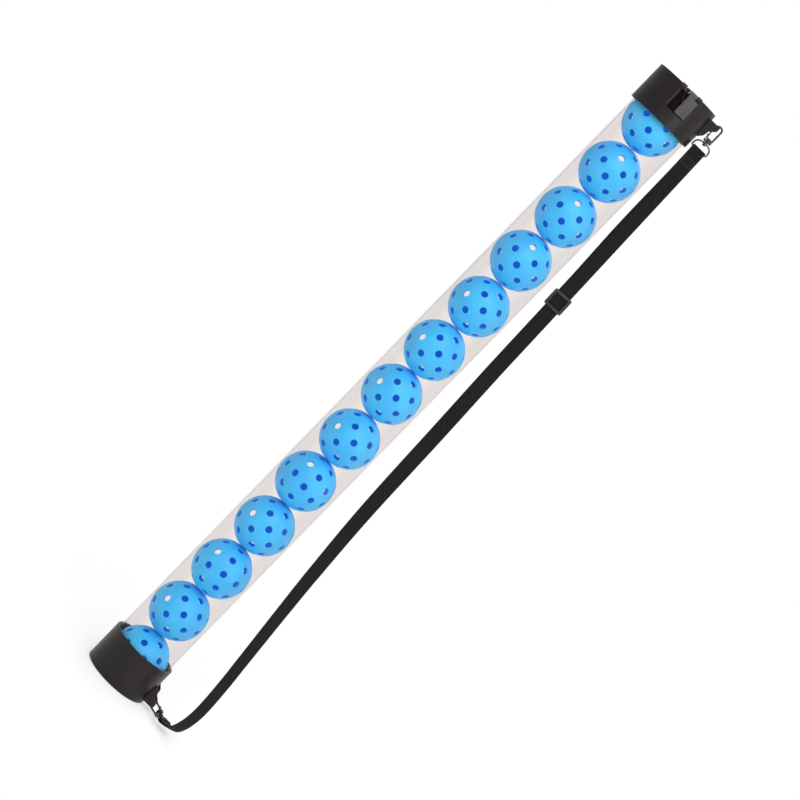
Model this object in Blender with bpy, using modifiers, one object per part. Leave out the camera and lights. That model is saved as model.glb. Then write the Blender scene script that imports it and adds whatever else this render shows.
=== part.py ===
"""A clear tube that picks up pickleballs through a sprung mouth and is carried on a webbing strap.

It stands upright on its closed cap: +Z runs up the tube, the latch faces -Y and the strap hangs at +X.
The origin is the middle of the closed cap's underside. All sizes are in metres.
"""

import math

import bmesh
import bpy
from mathutils import Matrix, Vector

# Sizes of the whole
OVERALL_LENGTH = 0.9906
SEAT_GAP = 0.0003
ROUND_STEPS = 44
# How far a cutter runs past what it cuts
CUT_MARGIN = 0.005

# Across the tube, from the ball outward; the caps come to 88.9 mm
BALL_DIAMETER = 0.074
BALL_ROOM = 0.002
TUBE_WALL = 0.0015
CAP_WALL = 0.00365

# Closed cap at the lower end
BOTTOM_CAP_LENGTH = 0.0529
BOTTOM_FLOOR = 0.003
BOTTOM_EDGE = 0.0025
RIM_CHAMFER = 0.0006

# Mouth collar at the upper end
TOP_CAP_LENGTH = 0.0509
TUBE_SEAT_DEPTH = 0.014
MOUTH_CHAMFER = 0.0022

# Latch pocket in the mouth collar, with its ears at the rim; X runs across it
POCKET_LEFT = -0.0062
POCKET_RIGHT = 0.0201
POCKET_TOP = 0.0055
POCKET_DEPTH = 0.0329
POCKET_FLOOR_WALL = 0.0019
NOTCH_LEFT = -0.0034
NOTCH_RIGHT = 0.0135
NOTCH_DEPTH = 0.0070
EAR_WIDTH_LEFT = 0.0076
EAR_WIDTH_RIGHT = 0.0071
EAR_RADIUS = 0.0032
EAR_RISE = 0.0011
EAR_STAND = 0.0008

# Catch lever
LEVER_LEFT = 0.005
LEVER_THICKNESS = 0.0038
LEVER_FOOT_GAP = 0.0009
LEVER_SIDE_GAP = 0.0005
LEVER_BARREL_RADIUS = 0.0026
LEVER_BARREL_LEFT = 0.0030
LEVER_NECK_SET_BACK = 0.0003
LEVER_NECK_LAP = 0.0032
NOSE_LEFT = 0.0080
NOSE_WIDTH = 0.0090
NOSE_REACH = 0.0050
NOSE_SHELF = 0.0020
NOSE_RAMP = 0.0105
NOSE_LIFT = 0.0010
SLOT_ROOM_BELOW = 0.0018
SLOT_ROOM_ABOVE = 0.0009
CATCH_PIN_RADIUS = 0.0009
CATCH_PIN_END = 0.0003

# Catch spring
SPRING_WIRE = 0.0007
SPRING_TURNS = 4
SPRING_POINTS_PER_TURN = 9
SPRING_LEG_DROP = 0.0180
SPRING_LEG_LAP = 0.0012

# Balls
BALL_WALL = 0.0020
BALL_HOLE_DIAMETER = 0.0086
BALL_SWAY = 0.0013
BALL_SWAY_TURN = 137.5
BALL_LEAST_PLAY = 0.001
# Rows of holes on each half, as (latitude, holes in the row, place of the first)
BALL_HOLE_ROWS = ((16.0, 10, 9.0), (48.0, 7, 16.3), (79.0, 3, -14.4))
# The photograph shows the tube leaning by this much, with the balls' poles nearly up the picture
PICTURE_LEAN = 44.3
BALL_POLE_BACK = 9.0
# How each ball has rolled, from the closed end up, as (roll in the picture, spin about its pole)
BALL_TURNS = (
    (5.0, 0.0),
    (5.0, 0.0),
    (35.0, 0.0),
    (5.0, 0.0),
    (-31.0, 18.4),
    (5.0, 0.0),
    (5.0, 0.0),
    (5.0, 0.0),
    (5.0, 0.0),
    (-5.0, 18.4),
    (-5.0, 18.4),
    (-5.0, 18.4),
    (-5.0, 18.4),
)

# Strap lugs
LUG_WIDTH = 0.022
LUG_PLATE = 0.002
LUG_REACH = 0.01375
LUG_BAR_THICKNESS = 0.0029
LUG_BAR_HEIGHT = 0.005
LUG_BAR_CHAMFER = 0.0026
LUG_BAR_FLAT = 0.0004
LUG_BAR_FROM_END = 0.0065
LUG_SHOULDER_REACH = 0.0068
LUG_TOE_REACH = 0.0052
LUG_BAR_TAPER = 0.0058
LUG_SHOULDER_FROM_BAR = 0.0116
LUG_TOE_FROM_BAR = 0.0195
LUG_LENGTH = 0.0253
LUG_HOLE_SINK = 0.00045
LUG_HOLE_PAST_BAR = 0.0032

# Snap hooks, measured from the point where the hook hangs on its bar, along the hook
HOOK_WIRE = 0.0025
HOOK_LOOP_WIDTH = 0.0119
HOOK_LOOP_LENGTH = 0.0173
HOOK_NOSE_DROP = 0.0045
HOOK_BASE_LENGTH = 0.0062
HOOK_BASE_WIDTH = 0.0106
HOOK_BASE_DEPTH = 0.0054
HOOK_BASE_EDGE = 0.0008
GATE_THICKNESS = 0.0017
GATE_WIDTH = 0.0026
GATE_ROOT_RADIUS = 0.0015
GATE_PIN_RADIUS = 0.0006
GATE_PIN_SINK = 0.0027
GATE_TIP_GAP = 0.0005
GATE_SWING_ROOM = 0.0008
GATE_KNOB_RADIUS = 0.0013
GATE_KNOB_HEIGHT = 0.0012
GATE_KNOB_FROM_PIN = 0.0048
STEM_RADIUS = 0.0012
STEM_HEAD_RADIUS = 0.0023
STEM_HEAD_LENGTH = 0.0016
STEM_HEAD_EDGE = 0.0007
STEM_ROOT = 0.002
EYE_BOSS_RADIUS = 0.0032
EYE_BOSS_LENGTH = 0.0028
EYE_WIRE = 0.0020
EYE_HEIGHT = 0.0133
EYE_CORNER = 0.0016
EYE_SIDE_ROOM = 0.0008
# The eye's rounded side, in shares of its half width and of its height below the boss
EYE_SIDE_SHAPE = ((0.62, 0.07), (0.86, 0.24), (0.98, 0.45))
HOOK_AXIS_FROM_WALL = 0.01365
BOTTOM_HOOK_YAW = 45.0
BOTTOM_HOOK_SLACK = 0.0019

# Strap
WEBBING_WIDTH = 0.019
WEBBING_THICKNESS = 0.0013
SEWN_TAIL_LENGTH = 0.017
FOLD_LENGTH = 0.026
LAYER_MERGE_LENGTH = 0.012
LEAVE_STRAIGHT = 0.005
ROUTE_STEP = 0.014
ROUTE_LEAST_POINTS = 3
WRAP_STEPS = 8
STRAP_RUN_FOOT_REACH = 0.02315
STRAP_RUN_FOOT_HEIGHT = 0.600
# Centre of the webbing below the straight upper run, down to the lower eye, chosen by hand; like the
# foot of that run, each point's reach is measured from the caps' wall
STRAP_LOW_POINTS = (
    (0.02715, -0.0050, 0.4960),
    (0.03175, -0.0125, 0.3650),
    (0.03855, -0.0210, 0.2680),
    (0.04355, -0.0270, 0.2130),
    (0.05155, -0.0360, 0.1330),
    (0.05505, -0.0402, 0.0980),
    (0.05735, -0.0435, 0.0620),
    (0.05675, -0.0437, 0.0410),
    (0.05335, -0.0405, 0.0230),
    (0.04755, -0.0350, 0.0118),
)
TWIST_END_HEIGHT = 0.090

# Slider
SLIDER_HEIGHT = 0.7045
SLIDER_LENGTH = 0.023
SLIDER_RAIL = 0.0026
SLIDER_BAR = 0.0035
SLIDER_FRONT = 0.0018
SLIDER_MIDDLE_RADIUS = 0.0011
SLIDER_CORNER = 0.0009
SLIDER_TAIL = 0.010
SLIDER_LOOP_STRAIGHT = 0.0043
SLIDER_SEWN = 0.0082

# Worked out from the sizes above
BORE_RADIUS = BALL_DIAMETER / 2 + BALL_ROOM
TUBE_RADIUS = BORE_RADIUS + TUBE_WALL
SOCKET_RADIUS = TUBE_RADIUS + SEAT_GAP
CAP_RADIUS = SOCKET_RADIUS + CAP_WALL
TOP_CAP_FOOT = OVERALL_LENGTH - TOP_CAP_LENGTH
TUBE_SHOULDER = TOP_CAP_FOOT + TUBE_SEAT_DEPTH
PIN_HEIGHT = OVERALL_LENGTH + EAR_RISE - EAR_RADIUS
PIN_FORWARD = CAP_RADIUS + EAR_STAND - EAR_RADIUS
POCKET_FLOOR_RADIUS = BORE_RADIUS + POCKET_FLOOR_WALL
LEVER_INNER_RADIUS = POCKET_FLOOR_RADIUS + SEAT_GAP
LEVER_OUTER_RADIUS = LEVER_INNER_RADIUS + LEVER_THICKNESS
LEVER_RIGHT = POCKET_RIGHT - LEVER_SIDE_GAP
LEVER_FOOT = OVERALL_LENGTH - POCKET_DEPTH + LEVER_FOOT_GAP
LUG_FACE = CAP_RADIUS + LUG_REACH
LUG_BAR_INSIDE = LUG_FACE - LUG_BAR_THICKNESS
TOP_BAR_TOP = OVERALL_LENGTH - LUG_BAR_FROM_END
TOP_HOOK_ORIGIN = Vector((CAP_RADIUS + HOOK_AXIS_FROM_WALL, 0, TOP_BAR_TOP + SEAT_GAP))
BOTTOM_HOOK_HEIGHT = LUG_BAR_FROM_END + LUG_BAR_HEIGHT / 2
HOOK_BASE_FOOT = -HOOK_LOOP_LENGTH - HOOK_BASE_LENGTH
EYE_TOP = HOOK_BASE_FOOT - SEAT_GAP
EYE_BAR_DROP = EYE_TOP - EYE_HEIGHT + EYE_WIRE / 2
EYE_HALF_WIDTH = WEBBING_WIDTH / 2 + EYE_SIDE_ROOM + EYE_WIRE / 2
BAR_WRAP_RADIUS = EYE_WIRE / 2 + SEAT_GAP + WEBBING_THICKNESS / 2
LAYER_STEP = WEBBING_THICKNESS + SEAT_GAP

UP = Vector((0, 0, 1))


def clear_scene():
    """Removes every object, so that the scene holds only this model."""
    for old in list(bpy.data.objects):
        bpy.data.objects.remove(old, do_unlink=True)


def new_collection(name):
    """Adds a collection to the scene."""
    made = bpy.data.collections.new(name)
    bpy.context.scene.collection.children.link(made)
    return made


def make_material(name, colour, roughness, metallic=0.0, alpha=1.0):
    """A Principled material with the piece's plain finish."""
    made = bpy.data.materials.new(name)
    made.use_nodes = True
    shader = made.node_tree.nodes["Principled BSDF"]
    shader.inputs["Base Color"].default_value = (*colour, 1)
    shader.inputs["Roughness"].default_value = roughness
    shader.inputs["Metallic"].default_value = metallic
    shader.inputs["Alpha"].default_value = alpha
    made.diffuse_color = (*colour, alpha)
    return made


def add_object(name, data, collection, material=None):
    """Puts mesh or curve data into the scene as one named object."""
    made = bpy.data.objects.new(name, data)
    collection.objects.link(made)
    if material:
        data.materials.append(material)
    return made


def as_cutter(made):
    """Marks an object as a helper that shapes others."""
    made.hide_render = True
    made.display_type = "WIRE"
    return made


def boolean(target, other, operation):
    """Adds a Boolean modifier that reads a helper object."""
    modifier = target.modifiers.new(operation.title(), "BOOLEAN")
    modifier.operation = operation
    modifier.object = other
    modifier.solver = "EXACT"
    return modifier


def smooth(made, degrees=35):
    """Shades a round piece smooth, with its real edges kept sharp."""
    made.data.shade_smooth()
    made.data.set_sharp_from_angle(angle=math.radians(degrees))
    return made


def turned(name, profile, collection, material=None, closed=True, steps=ROUND_STEPS):
    """Turns a profile of (radius, height) points round +Z. The profile runs down the outer side."""
    mesh = bpy.data.meshes.new(name)
    count = len(profile)
    edges = [(i, i + 1) for i in range(count - 1)]
    if closed:
        edges.append((count - 1, 0))
    mesh.from_pydata([(radius, 0, height) for radius, height in profile], edges, [])
    made = add_object(name, mesh, collection, material)
    screw = made.modifiers.new("Turn", "SCREW")
    screw.axis = "Z"
    screw.steps = steps
    screw.render_steps = steps
    screw.use_merge_vertices = True
    screw.merge_threshold = 0.00001
    screw.use_smooth_shade = True
    return made


def box(name, low, high, collection, material=None):
    """A box between two corners."""
    mesh = bpy.data.meshes.new(name)
    shape = bmesh.new()
    bmesh.ops.create_cube(shape, size=1)
    low, high = Vector(low), Vector(high)
    for corner in shape.verts:
        corner.co = [low[i] + (high[i] - low[i]) * (corner.co[i] + 0.5) for i in range(3)]
    shape.to_mesh(mesh)
    shape.free()
    return add_object(name, mesh, collection, material)


def rod(name, start, end, radius, collection, material=None, sides=16):
    """A cylinder from one point to another."""
    mesh = bpy.data.meshes.new(name)
    start, end = Vector(start), Vector(end)
    along = end - start
    turn = UP.rotation_difference(along).to_matrix().to_4x4()
    place = Matrix.Translation((start + end) / 2) @ turn
    shape = bmesh.new()
    bmesh.ops.create_cone(
        shape, cap_ends=True, segments=sides, radius1=radius, radius2=radius,
        depth=along.length, matrix=place,
    )
    shape.to_mesh(mesh)
    shape.free()
    return add_object(name, mesh, collection, material)


def slab(name, outline, half_thickness, collection, material=None):
    """A flat outline of (x, y) points, filled and thickened both ways along its own Z."""
    curve = bpy.data.curves.new(name, "CURVE")
    curve.dimensions = "2D"
    curve.fill_mode = "BOTH"
    curve.extrude = half_thickness
    spline = curve.splines.new("POLY")
    spline.points.add(len(outline) - 1)
    for point, (x, y) in zip(spline.points, outline):
        point.co = (x, y, 0, 1)
    spline.use_cyclic_u = True
    return curve_to_mesh(add_object(name, curve, collection), collection, material)


def wire(name, points, radius, collection, material=None, cyclic=False, resolution=2):
    """A round wire along points."""
    curve = bpy.data.curves.new(name, "CURVE")
    curve.dimensions = "3D"
    curve.bevel_depth = radius
    curve.bevel_resolution = resolution
    curve.use_fill_caps = not cyclic
    spline = curve.splines.new("POLY")
    spline.points.add(len(points) - 1)
    for point, place in zip(spline.points, points):
        point.co = (*place, 1)
    spline.use_cyclic_u = cyclic
    return curve_to_mesh(add_object(name, curve, collection), collection, material)


def curve_to_mesh(source, collection, material=None):
    """Replaces a curve object by a welded mesh object of the same name."""
    bpy.context.view_layer.update()
    graph = bpy.context.evaluated_depsgraph_get()
    mesh = bpy.data.meshes.new_from_object(source.evaluated_get(graph))
    name = source.name
    matrix = source.matrix_world.copy()
    bpy.data.objects.remove(source, do_unlink=True)
    shape = bmesh.new()
    shape.from_mesh(mesh)
    bmesh.ops.remove_doubles(shape, verts=shape.verts, dist=0.000001)
    bmesh.ops.recalc_face_normals(shape, faces=shape.faces)
    shape.to_mesh(mesh)
    shape.free()
    mesh.name = name
    mesh.materials.clear()
    made = add_object(name, mesh, collection, material)
    made.matrix_world = matrix
    return made


def bevelled(made, width, segments=1):
    """Rounds a piece's sharp edges."""
    modifier = made.modifiers.new("Edge", "BEVEL")
    modifier.width = width
    modifier.segments = segments
    modifier.limit_method = "ANGLE"
    modifier.angle_limit = math.radians(40)
    return made


def arc(centre, radius, start, end, steps):
    """Points on an arc, as (x, y) pairs; angles in degrees."""
    for i in range(steps + 1):
        angle = math.radians(start + (end - start) * i / steps)
        yield centre[0] + radius * math.cos(angle), centre[1] + radius * math.sin(angle)


# Tube and caps


def build_tube(parts, finish):
    """The clear tube, from the floor of the closed cap to the shoulder in the mouth collar."""
    low = BOTTOM_FLOOR + SEAT_GAP
    high = TUBE_SHOULDER - SEAT_GAP
    profile = [(TUBE_RADIUS, high), (TUBE_RADIUS, low), (BORE_RADIUS, low), (BORE_RADIUS, high)]
    return turned("clear_tube", profile, parts, finish)


def lug_outline(bar_end, sign):
    """Side view of a lug as (reach from the axis, height); sign is -1 where it hangs below its bar."""
    root = CAP_RADIUS - LUG_PLATE
    return [
        (root, bar_end),
        (LUG_FACE, bar_end),
        (LUG_FACE, bar_end + sign * LUG_BAR_TAPER),
        (CAP_RADIUS + LUG_SHOULDER_REACH, bar_end + sign * LUG_SHOULDER_FROM_BAR),
        (CAP_RADIUS + LUG_TOE_REACH, bar_end + sign * LUG_TOE_FROM_BAR),
        (CAP_RADIUS, bar_end + sign * LUG_LENGTH),
        (root, bar_end + sign * LUG_LENGTH),
    ]


def add_lug(cap, name, bar_end, sign, cutters):
    """Moulds a strap lug on a cap: two side plates and a bar across their ends."""
    outline = lug_outline(bar_end, sign)
    lug = as_cutter(slab(name, outline, LUG_WIDTH / 2, cutters))
    lug.matrix_world = Matrix.Rotation(math.radians(90), 4, "X")
    half_hole = LUG_WIDTH / 2 - LUG_PLATE
    beyond = bar_end - sign * LUG_HOLE_PAST_BAR
    far_end = bar_end + sign * (LUG_LENGTH + CUT_MARGIN)
    hole_outline = [
        (CAP_RADIUS - LUG_HOLE_SINK, far_end),
        (LUG_BAR_INSIDE, far_end),
        (LUG_BAR_INSIDE, bar_end + sign * LUG_BAR_CHAMFER),
        (LUG_FACE - LUG_BAR_FLAT, bar_end),
        (LUG_FACE - LUG_BAR_FLAT, beyond),
        (CAP_RADIUS - LUG_HOLE_SINK, beyond),
    ]
    hole = slab(name + "_hole", hole_outline, half_hole, cutters)
    hole.matrix_world = lug.matrix_world
    behind_bar = bar_end + sign * LUG_BAR_HEIGHT
    trim = box(
        name + "_trim",
        (LUG_BAR_INSIDE - CUT_MARGIN, -half_hole, min(behind_bar, far_end)),
        (LUG_FACE + CUT_MARGIN, half_hole, max(behind_bar, far_end)),
        cutters,
    )
    boolean(cap, lug, "UNION")
    boolean(cap, as_cutter(hole), "DIFFERENCE")
    boolean(cap, as_cutter(trim), "DIFFERENCE")


def build_bottom_cap(parts, cutters, finish):
    """The closed cap that the tube stands in, with a softened lower edge."""
    edge = list(arc((CAP_RADIUS - BOTTOM_EDGE, BOTTOM_EDGE), BOTTOM_EDGE, 0, -90, 2))
    profile = [
        (0, BOTTOM_FLOOR),
        (SOCKET_RADIUS, BOTTOM_FLOOR),
        (SOCKET_RADIUS, BOTTOM_CAP_LENGTH - RIM_CHAMFER),
        (SOCKET_RADIUS + RIM_CHAMFER, BOTTOM_CAP_LENGTH),
        (CAP_RADIUS, BOTTOM_CAP_LENGTH),
        *edge,
        (0, 0),
    ]
    cap = turned("bottom_cap", profile, parts, finish, closed=False)
    add_lug(cap, "bottom_lug", LUG_BAR_FROM_END, 1, cutters)
    return cap


def ring_section(name, inner, outer, low, high, collection):
    """A plain ring, used to shape curved pockets and the lever."""
    profile = [(outer, high), (outer, low), (inner, low), (inner, high)]
    return turned(name, profile, collection)


def build_top_cap(parts, cutters, finish):
    """The mouth collar: tube socket, latch pocket with its floor, pin ears and strap lug."""
    top = OVERALL_LENGTH
    profile = [
        (BORE_RADIUS + MOUTH_CHAMFER, top),
        (CAP_RADIUS - RIM_CHAMFER, top),
        (CAP_RADIUS, top - RIM_CHAMFER),
        (CAP_RADIUS, TOP_CAP_FOOT),
        (SOCKET_RADIUS, TOP_CAP_FOOT),
        (SOCKET_RADIUS, TUBE_SHOULDER),
        (BORE_RADIUS, TUBE_SHOULDER),
        (BORE_RADIUS, top - MOUTH_CHAMFER),
    ]
    cap = turned("top_cap", profile, parts, finish)
    add_lug(cap, "top_lug", TOP_BAR_TOP, -1, cutters)

    pocket = ring_section(
        "latch_pocket", POCKET_FLOOR_RADIUS, CAP_RADIUS + CUT_MARGIN, top - POCKET_DEPTH, top - POCKET_TOP, cutters
    )
    window = box(
        "pocket_window",
        (POCKET_LEFT, -CAP_RADIUS - 2 * CUT_MARGIN, top - POCKET_DEPTH - CUT_MARGIN),
        (POCKET_RIGHT, 0, top + CUT_MARGIN),
        cutters,
    )
    boolean(pocket, as_cutter(window), "INTERSECT")
    boolean(cap, as_cutter(pocket), "DIFFERENCE")

    for side, start, width in (
        ("left", NOTCH_LEFT - EAR_WIDTH_LEFT, EAR_WIDTH_LEFT),
        ("right", NOTCH_RIGHT, EAR_WIDTH_RIGHT),
    ):
        ear = rod(
            f"{side}_ear",
            (start, -PIN_FORWARD, PIN_HEIGHT),
            (start + width, -PIN_FORWARD, PIN_HEIGHT),
            EAR_RADIUS,
            cutters,
            sides=16,
        )
        boolean(cap, as_cutter(ear), "UNION")

    notch = box(
        "barrel_notch",
        (NOTCH_LEFT, -CAP_RADIUS - CUT_MARGIN, top - NOTCH_DEPTH),
        (NOTCH_RIGHT, -BORE_RADIUS + CUT_MARGIN, top + CUT_MARGIN),
        cutters,
    )
    boolean(cap, as_cutter(notch), "DIFFERENCE")
    nose_slot = box(
        "nose_slot",
        (NOSE_LEFT - SEAT_GAP, -POCKET_FLOOR_RADIUS - CUT_MARGIN, nose_shelf_height() - SLOT_ROOM_BELOW),
        (NOSE_LEFT + NOSE_WIDTH + SEAT_GAP, -BORE_RADIUS + CUT_MARGIN, nose_ramp_top() + SLOT_ROOM_ABOVE),
        cutters,
    )
    boolean(cap, as_cutter(nose_slot), "DIFFERENCE")
    bore = rod(
        "ear_bore",
        (NOTCH_LEFT - EAR_WIDTH_LEFT - CUT_MARGIN, -PIN_FORWARD, PIN_HEIGHT),
        (NOTCH_RIGHT + EAR_WIDTH_RIGHT + CUT_MARGIN, -PIN_FORWARD, PIN_HEIGHT),
        CATCH_PIN_RADIUS + SEAT_GAP,
        cutters,
        sides=12,
    )
    boolean(cap, as_cutter(bore), "DIFFERENCE")
    return cap


# Catch in the mouth


def nose_shelf_height():
    """Height of the face that holds the last ball."""
    return LEVER_FOOT + NOSE_LIFT


def nose_ramp_top():
    """Height where the nose's ramp meets the lever."""
    return nose_shelf_height() + NOSE_SHELF + NOSE_RAMP


def build_catch_lever(parts, cutters, finish):
    """The lever: a curved blade in the pocket, a barrel on the pin and a nose into the mouth."""
    blade_top = PIN_HEIGHT - EAR_RADIUS - 2 * SEAT_GAP
    lever = ring_section("catch_lever", LEVER_INNER_RADIUS, LEVER_OUTER_RADIUS, LEVER_FOOT, blade_top, parts)
    lever.data.materials.append(finish)
    width = box(
        "lever_width",
        (LEVER_LEFT, -LEVER_OUTER_RADIUS - CUT_MARGIN, LEVER_FOOT - CUT_MARGIN),
        (LEVER_RIGHT, 0, blade_top + CUT_MARGIN),
        cutters,
    )
    boolean(lever, as_cutter(width), "INTERSECT")
    barrel = rod(
        "lever_barrel",
        (LEVER_BARREL_LEFT, -PIN_FORWARD, PIN_HEIGHT),
        (NOTCH_RIGHT - SEAT_GAP, -PIN_FORWARD, PIN_HEIGHT),
        LEVER_BARREL_RADIUS,
        cutters,
        sides=16,
    )
    neck = box(
        "lever_neck",
        (LEVER_LEFT, -PIN_FORWARD - LEVER_BARREL_RADIUS + LEVER_NECK_SET_BACK, blade_top - LEVER_NECK_LAP),
        (NOTCH_RIGHT - SEAT_GAP, -LEVER_INNER_RADIUS, PIN_HEIGHT),
        cutters,
    )
    shelf = nose_shelf_height()
    tip = BORE_RADIUS - NOSE_REACH
    root = LEVER_INNER_RADIUS + LEVER_THICKNESS / 2
    side_view = [
        (-root, shelf),
        (-root, nose_ramp_top()),
        (-LEVER_INNER_RADIUS + SEAT_GAP, nose_ramp_top()),
        (-tip, shelf + NOSE_SHELF),
        (-tip, shelf),
    ]
    nose = slab("lever_nose", side_view, NOSE_WIDTH / 2, cutters)
    middle = NOSE_LEFT + NOSE_WIDTH / 2
    nose.matrix_world = Matrix(((0, 0, 1, middle), (1, 0, 0, 0), (0, 1, 0, 0), (0, 0, 0, 1)))
    for piece in (barrel, neck, nose):
        boolean(lever, as_cutter(piece), "UNION")
    bore = rod(
        "lever_bore",
        (LEVER_BARREL_LEFT - CUT_MARGIN, -PIN_FORWARD, PIN_HEIGHT),
        (NOTCH_RIGHT + CUT_MARGIN, -PIN_FORWARD, PIN_HEIGHT),
        CATCH_PIN_RADIUS + SEAT_GAP,
        cutters,
        sides=12,
    )
    boolean(lever, as_cutter(bore), "DIFFERENCE")
    return lever


def build_catch_pin(parts, finish):
    """The pin through both ears."""
    start = (NOTCH_LEFT - EAR_WIDTH_LEFT - CATCH_PIN_END, -PIN_FORWARD, PIN_HEIGHT)
    end = (NOTCH_RIGHT + EAR_WIDTH_RIGHT + CATCH_PIN_END, -PIN_FORWARD, PIN_HEIGHT)
    return rod("catch_pin", start, end, CATCH_PIN_RADIUS, parts, finish, sides=12)


def build_catch_spring(parts, finish):
    """The torsion spring: turns round the pin, then a leg down across the pocket onto the blade."""
    coil_radius = CATCH_PIN_RADIUS + 2 * SEAT_GAP + SPRING_WIRE / 2
    start = NOTCH_LEFT + SEAT_GAP + SPRING_WIRE / 2
    end = LEVER_BARREL_LEFT - SEAT_GAP - SPRING_WIRE / 2
    count = SPRING_TURNS * SPRING_POINTS_PER_TURN
    points = []
    for i in range(count + 1):
        share = i / count
        angle = 2 * math.pi * SPRING_TURNS * share
        along = end + (start - end) * share
        points.append(
            (along, -PIN_FORWARD - coil_radius * math.cos(angle), PIN_HEIGHT + coil_radius * math.sin(angle))
        )
    x, y, z = points[-1]
    lap = LEVER_LEFT + SPRING_LEG_LAP
    reach = math.sqrt((LEVER_OUTER_RADIUS + SEAT_GAP + SPRING_WIRE / 2) ** 2 - lap**2)
    leg_end = Vector((lap, -reach, z - SPRING_LEG_DROP))
    bend = Vector((x, y - SPRING_WIRE, z - LEVER_BARREL_RADIUS))
    points.append(bend)
    points.append(bend.lerp(leg_end, 0.5))
    points.append(leg_end)
    pitch = abs(end - start) / SPRING_TURNS
    print(f"catch spring: least gap between turns {1000 * (pitch - SPRING_WIRE):.2f} mm")
    return smooth(wire("catch_spring", points, SPRING_WIRE / 2, parts, finish, resolution=1), 60)


# Balls


def ball_directions():
    """The 40 hole directions: rows of 10, 7 and 3 on each half."""
    for half in (1, -1):
        for latitude, count, start in BALL_HOLE_ROWS:
            for i in range(count):
                turn = math.radians(start + 360 * i / count)
                lift = math.radians(half * latitude)
                yield Vector(
                    (math.cos(lift) * math.cos(turn), math.cos(lift) * math.sin(turn), math.sin(lift))
                )


def ball_mesh():
    """One hollow ball: the hull of the hole centres, its corners cut off as holes, set on a sphere."""
    radius = BALL_DIAMETER / 2
    shape = bmesh.new()
    corners = [shape.verts.new(direction) for direction in ball_directions()]
    bmesh.ops.convex_hull(shape, input=corners)
    hole = BALL_HOLE_DIAMETER / 2 / radius
    cut = bmesh.ops.bevel(
        shape, geom=list(shape.verts), offset=hole, offset_type="OFFSET", segments=1,
        affect="VERTICES", clamp_overlap=False,
    )
    bmesh.ops.delete(shape, geom=cut["faces"], context="FACES_ONLY")
    for vertex in shape.verts:
        vertex.co = vertex.co.normalized() * radius
    bmesh.ops.triangulate(shape, faces=shape.faces)
    bmesh.ops.recalc_face_normals(shape, faces=shape.faces)
    mesh = bpy.data.meshes.new("pickleball")
    shape.to_mesh(mesh)
    shape.free()
    return mesh


def ball_places():
    """Centres of the balls that fit the tube, each resting on the one below."""
    radius = BALL_DIAMETER / 2
    shoulder = math.sqrt(max(radius**2 - (BORE_RADIUS - NOSE_REACH - BALL_SWAY) ** 2, 0))
    places = []
    height = BOTTOM_FLOOR + SEAT_GAP + radius
    while height + shoulder + BALL_LEAST_PLAY < nose_shelf_height():
        turn = math.radians(BALL_SWAY_TURN * len(places))
        places.append(Vector((BALL_SWAY * math.cos(turn), BALL_SWAY * math.sin(turn), height)))
        following = math.radians(BALL_SWAY_TURN * len(places))
        aside = BALL_SWAY * math.hypot(
            math.cos(following) - math.cos(turn), math.sin(following) - math.sin(turn)
        )
        height += math.sqrt((BALL_DIAMETER + SEAT_GAP) ** 2 - aside**2)
    return places


def ball_turn(roll, spin):
    """How a ball is turned: its pole rolled in the picture and leaning back from it, spun about itself."""
    return (
        Matrix.Rotation(math.radians(roll - PICTURE_LEAN), 4, "Y")
        @ Matrix.Rotation(math.radians(-BALL_POLE_BACK), 4, "X")
        @ Matrix.Rotation(math.radians(spin - 90), 4, "Z")
    )


def build_balls(parts, finish):
    """The column of balls, each turned as the photograph catches it."""
    mesh = ball_mesh()
    mesh.materials.append(finish)
    for number, place in enumerate(ball_places()):
        ball = bpy.data.objects.new(f"pickleball_{number + 1:02d}", mesh)
        parts.objects.link(ball)
        ball.location = place
        ball.rotation_euler = ball_turn(*BALL_TURNS[number % len(BALL_TURNS)]).to_euler()
        wall = ball.modifiers.new("Wall", "SOLIDIFY")
        wall.thickness = BALL_WALL
        wall.offset = -1


# Snap hooks


def hook_frame(origin, along, gate_side):
    """Matrix of a hook: its own +Z points from the eye to the loop, its own -X to the gate."""
    z_axis = Vector(along).normalized()
    x_axis = -Vector(gate_side).normalized()
    y_axis = z_axis.cross(x_axis)
    frame = Matrix((x_axis, y_axis, z_axis)).transposed().to_4x4()
    frame.translation = origin
    return frame


def gate_pin_place():
    """The gate pin's place across and along the hook."""
    return -HOOK_BASE_WIDTH / 2 + GATE_ROOT_RADIUS, -HOOK_LOOP_LENGTH - GATE_PIN_SINK


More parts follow.
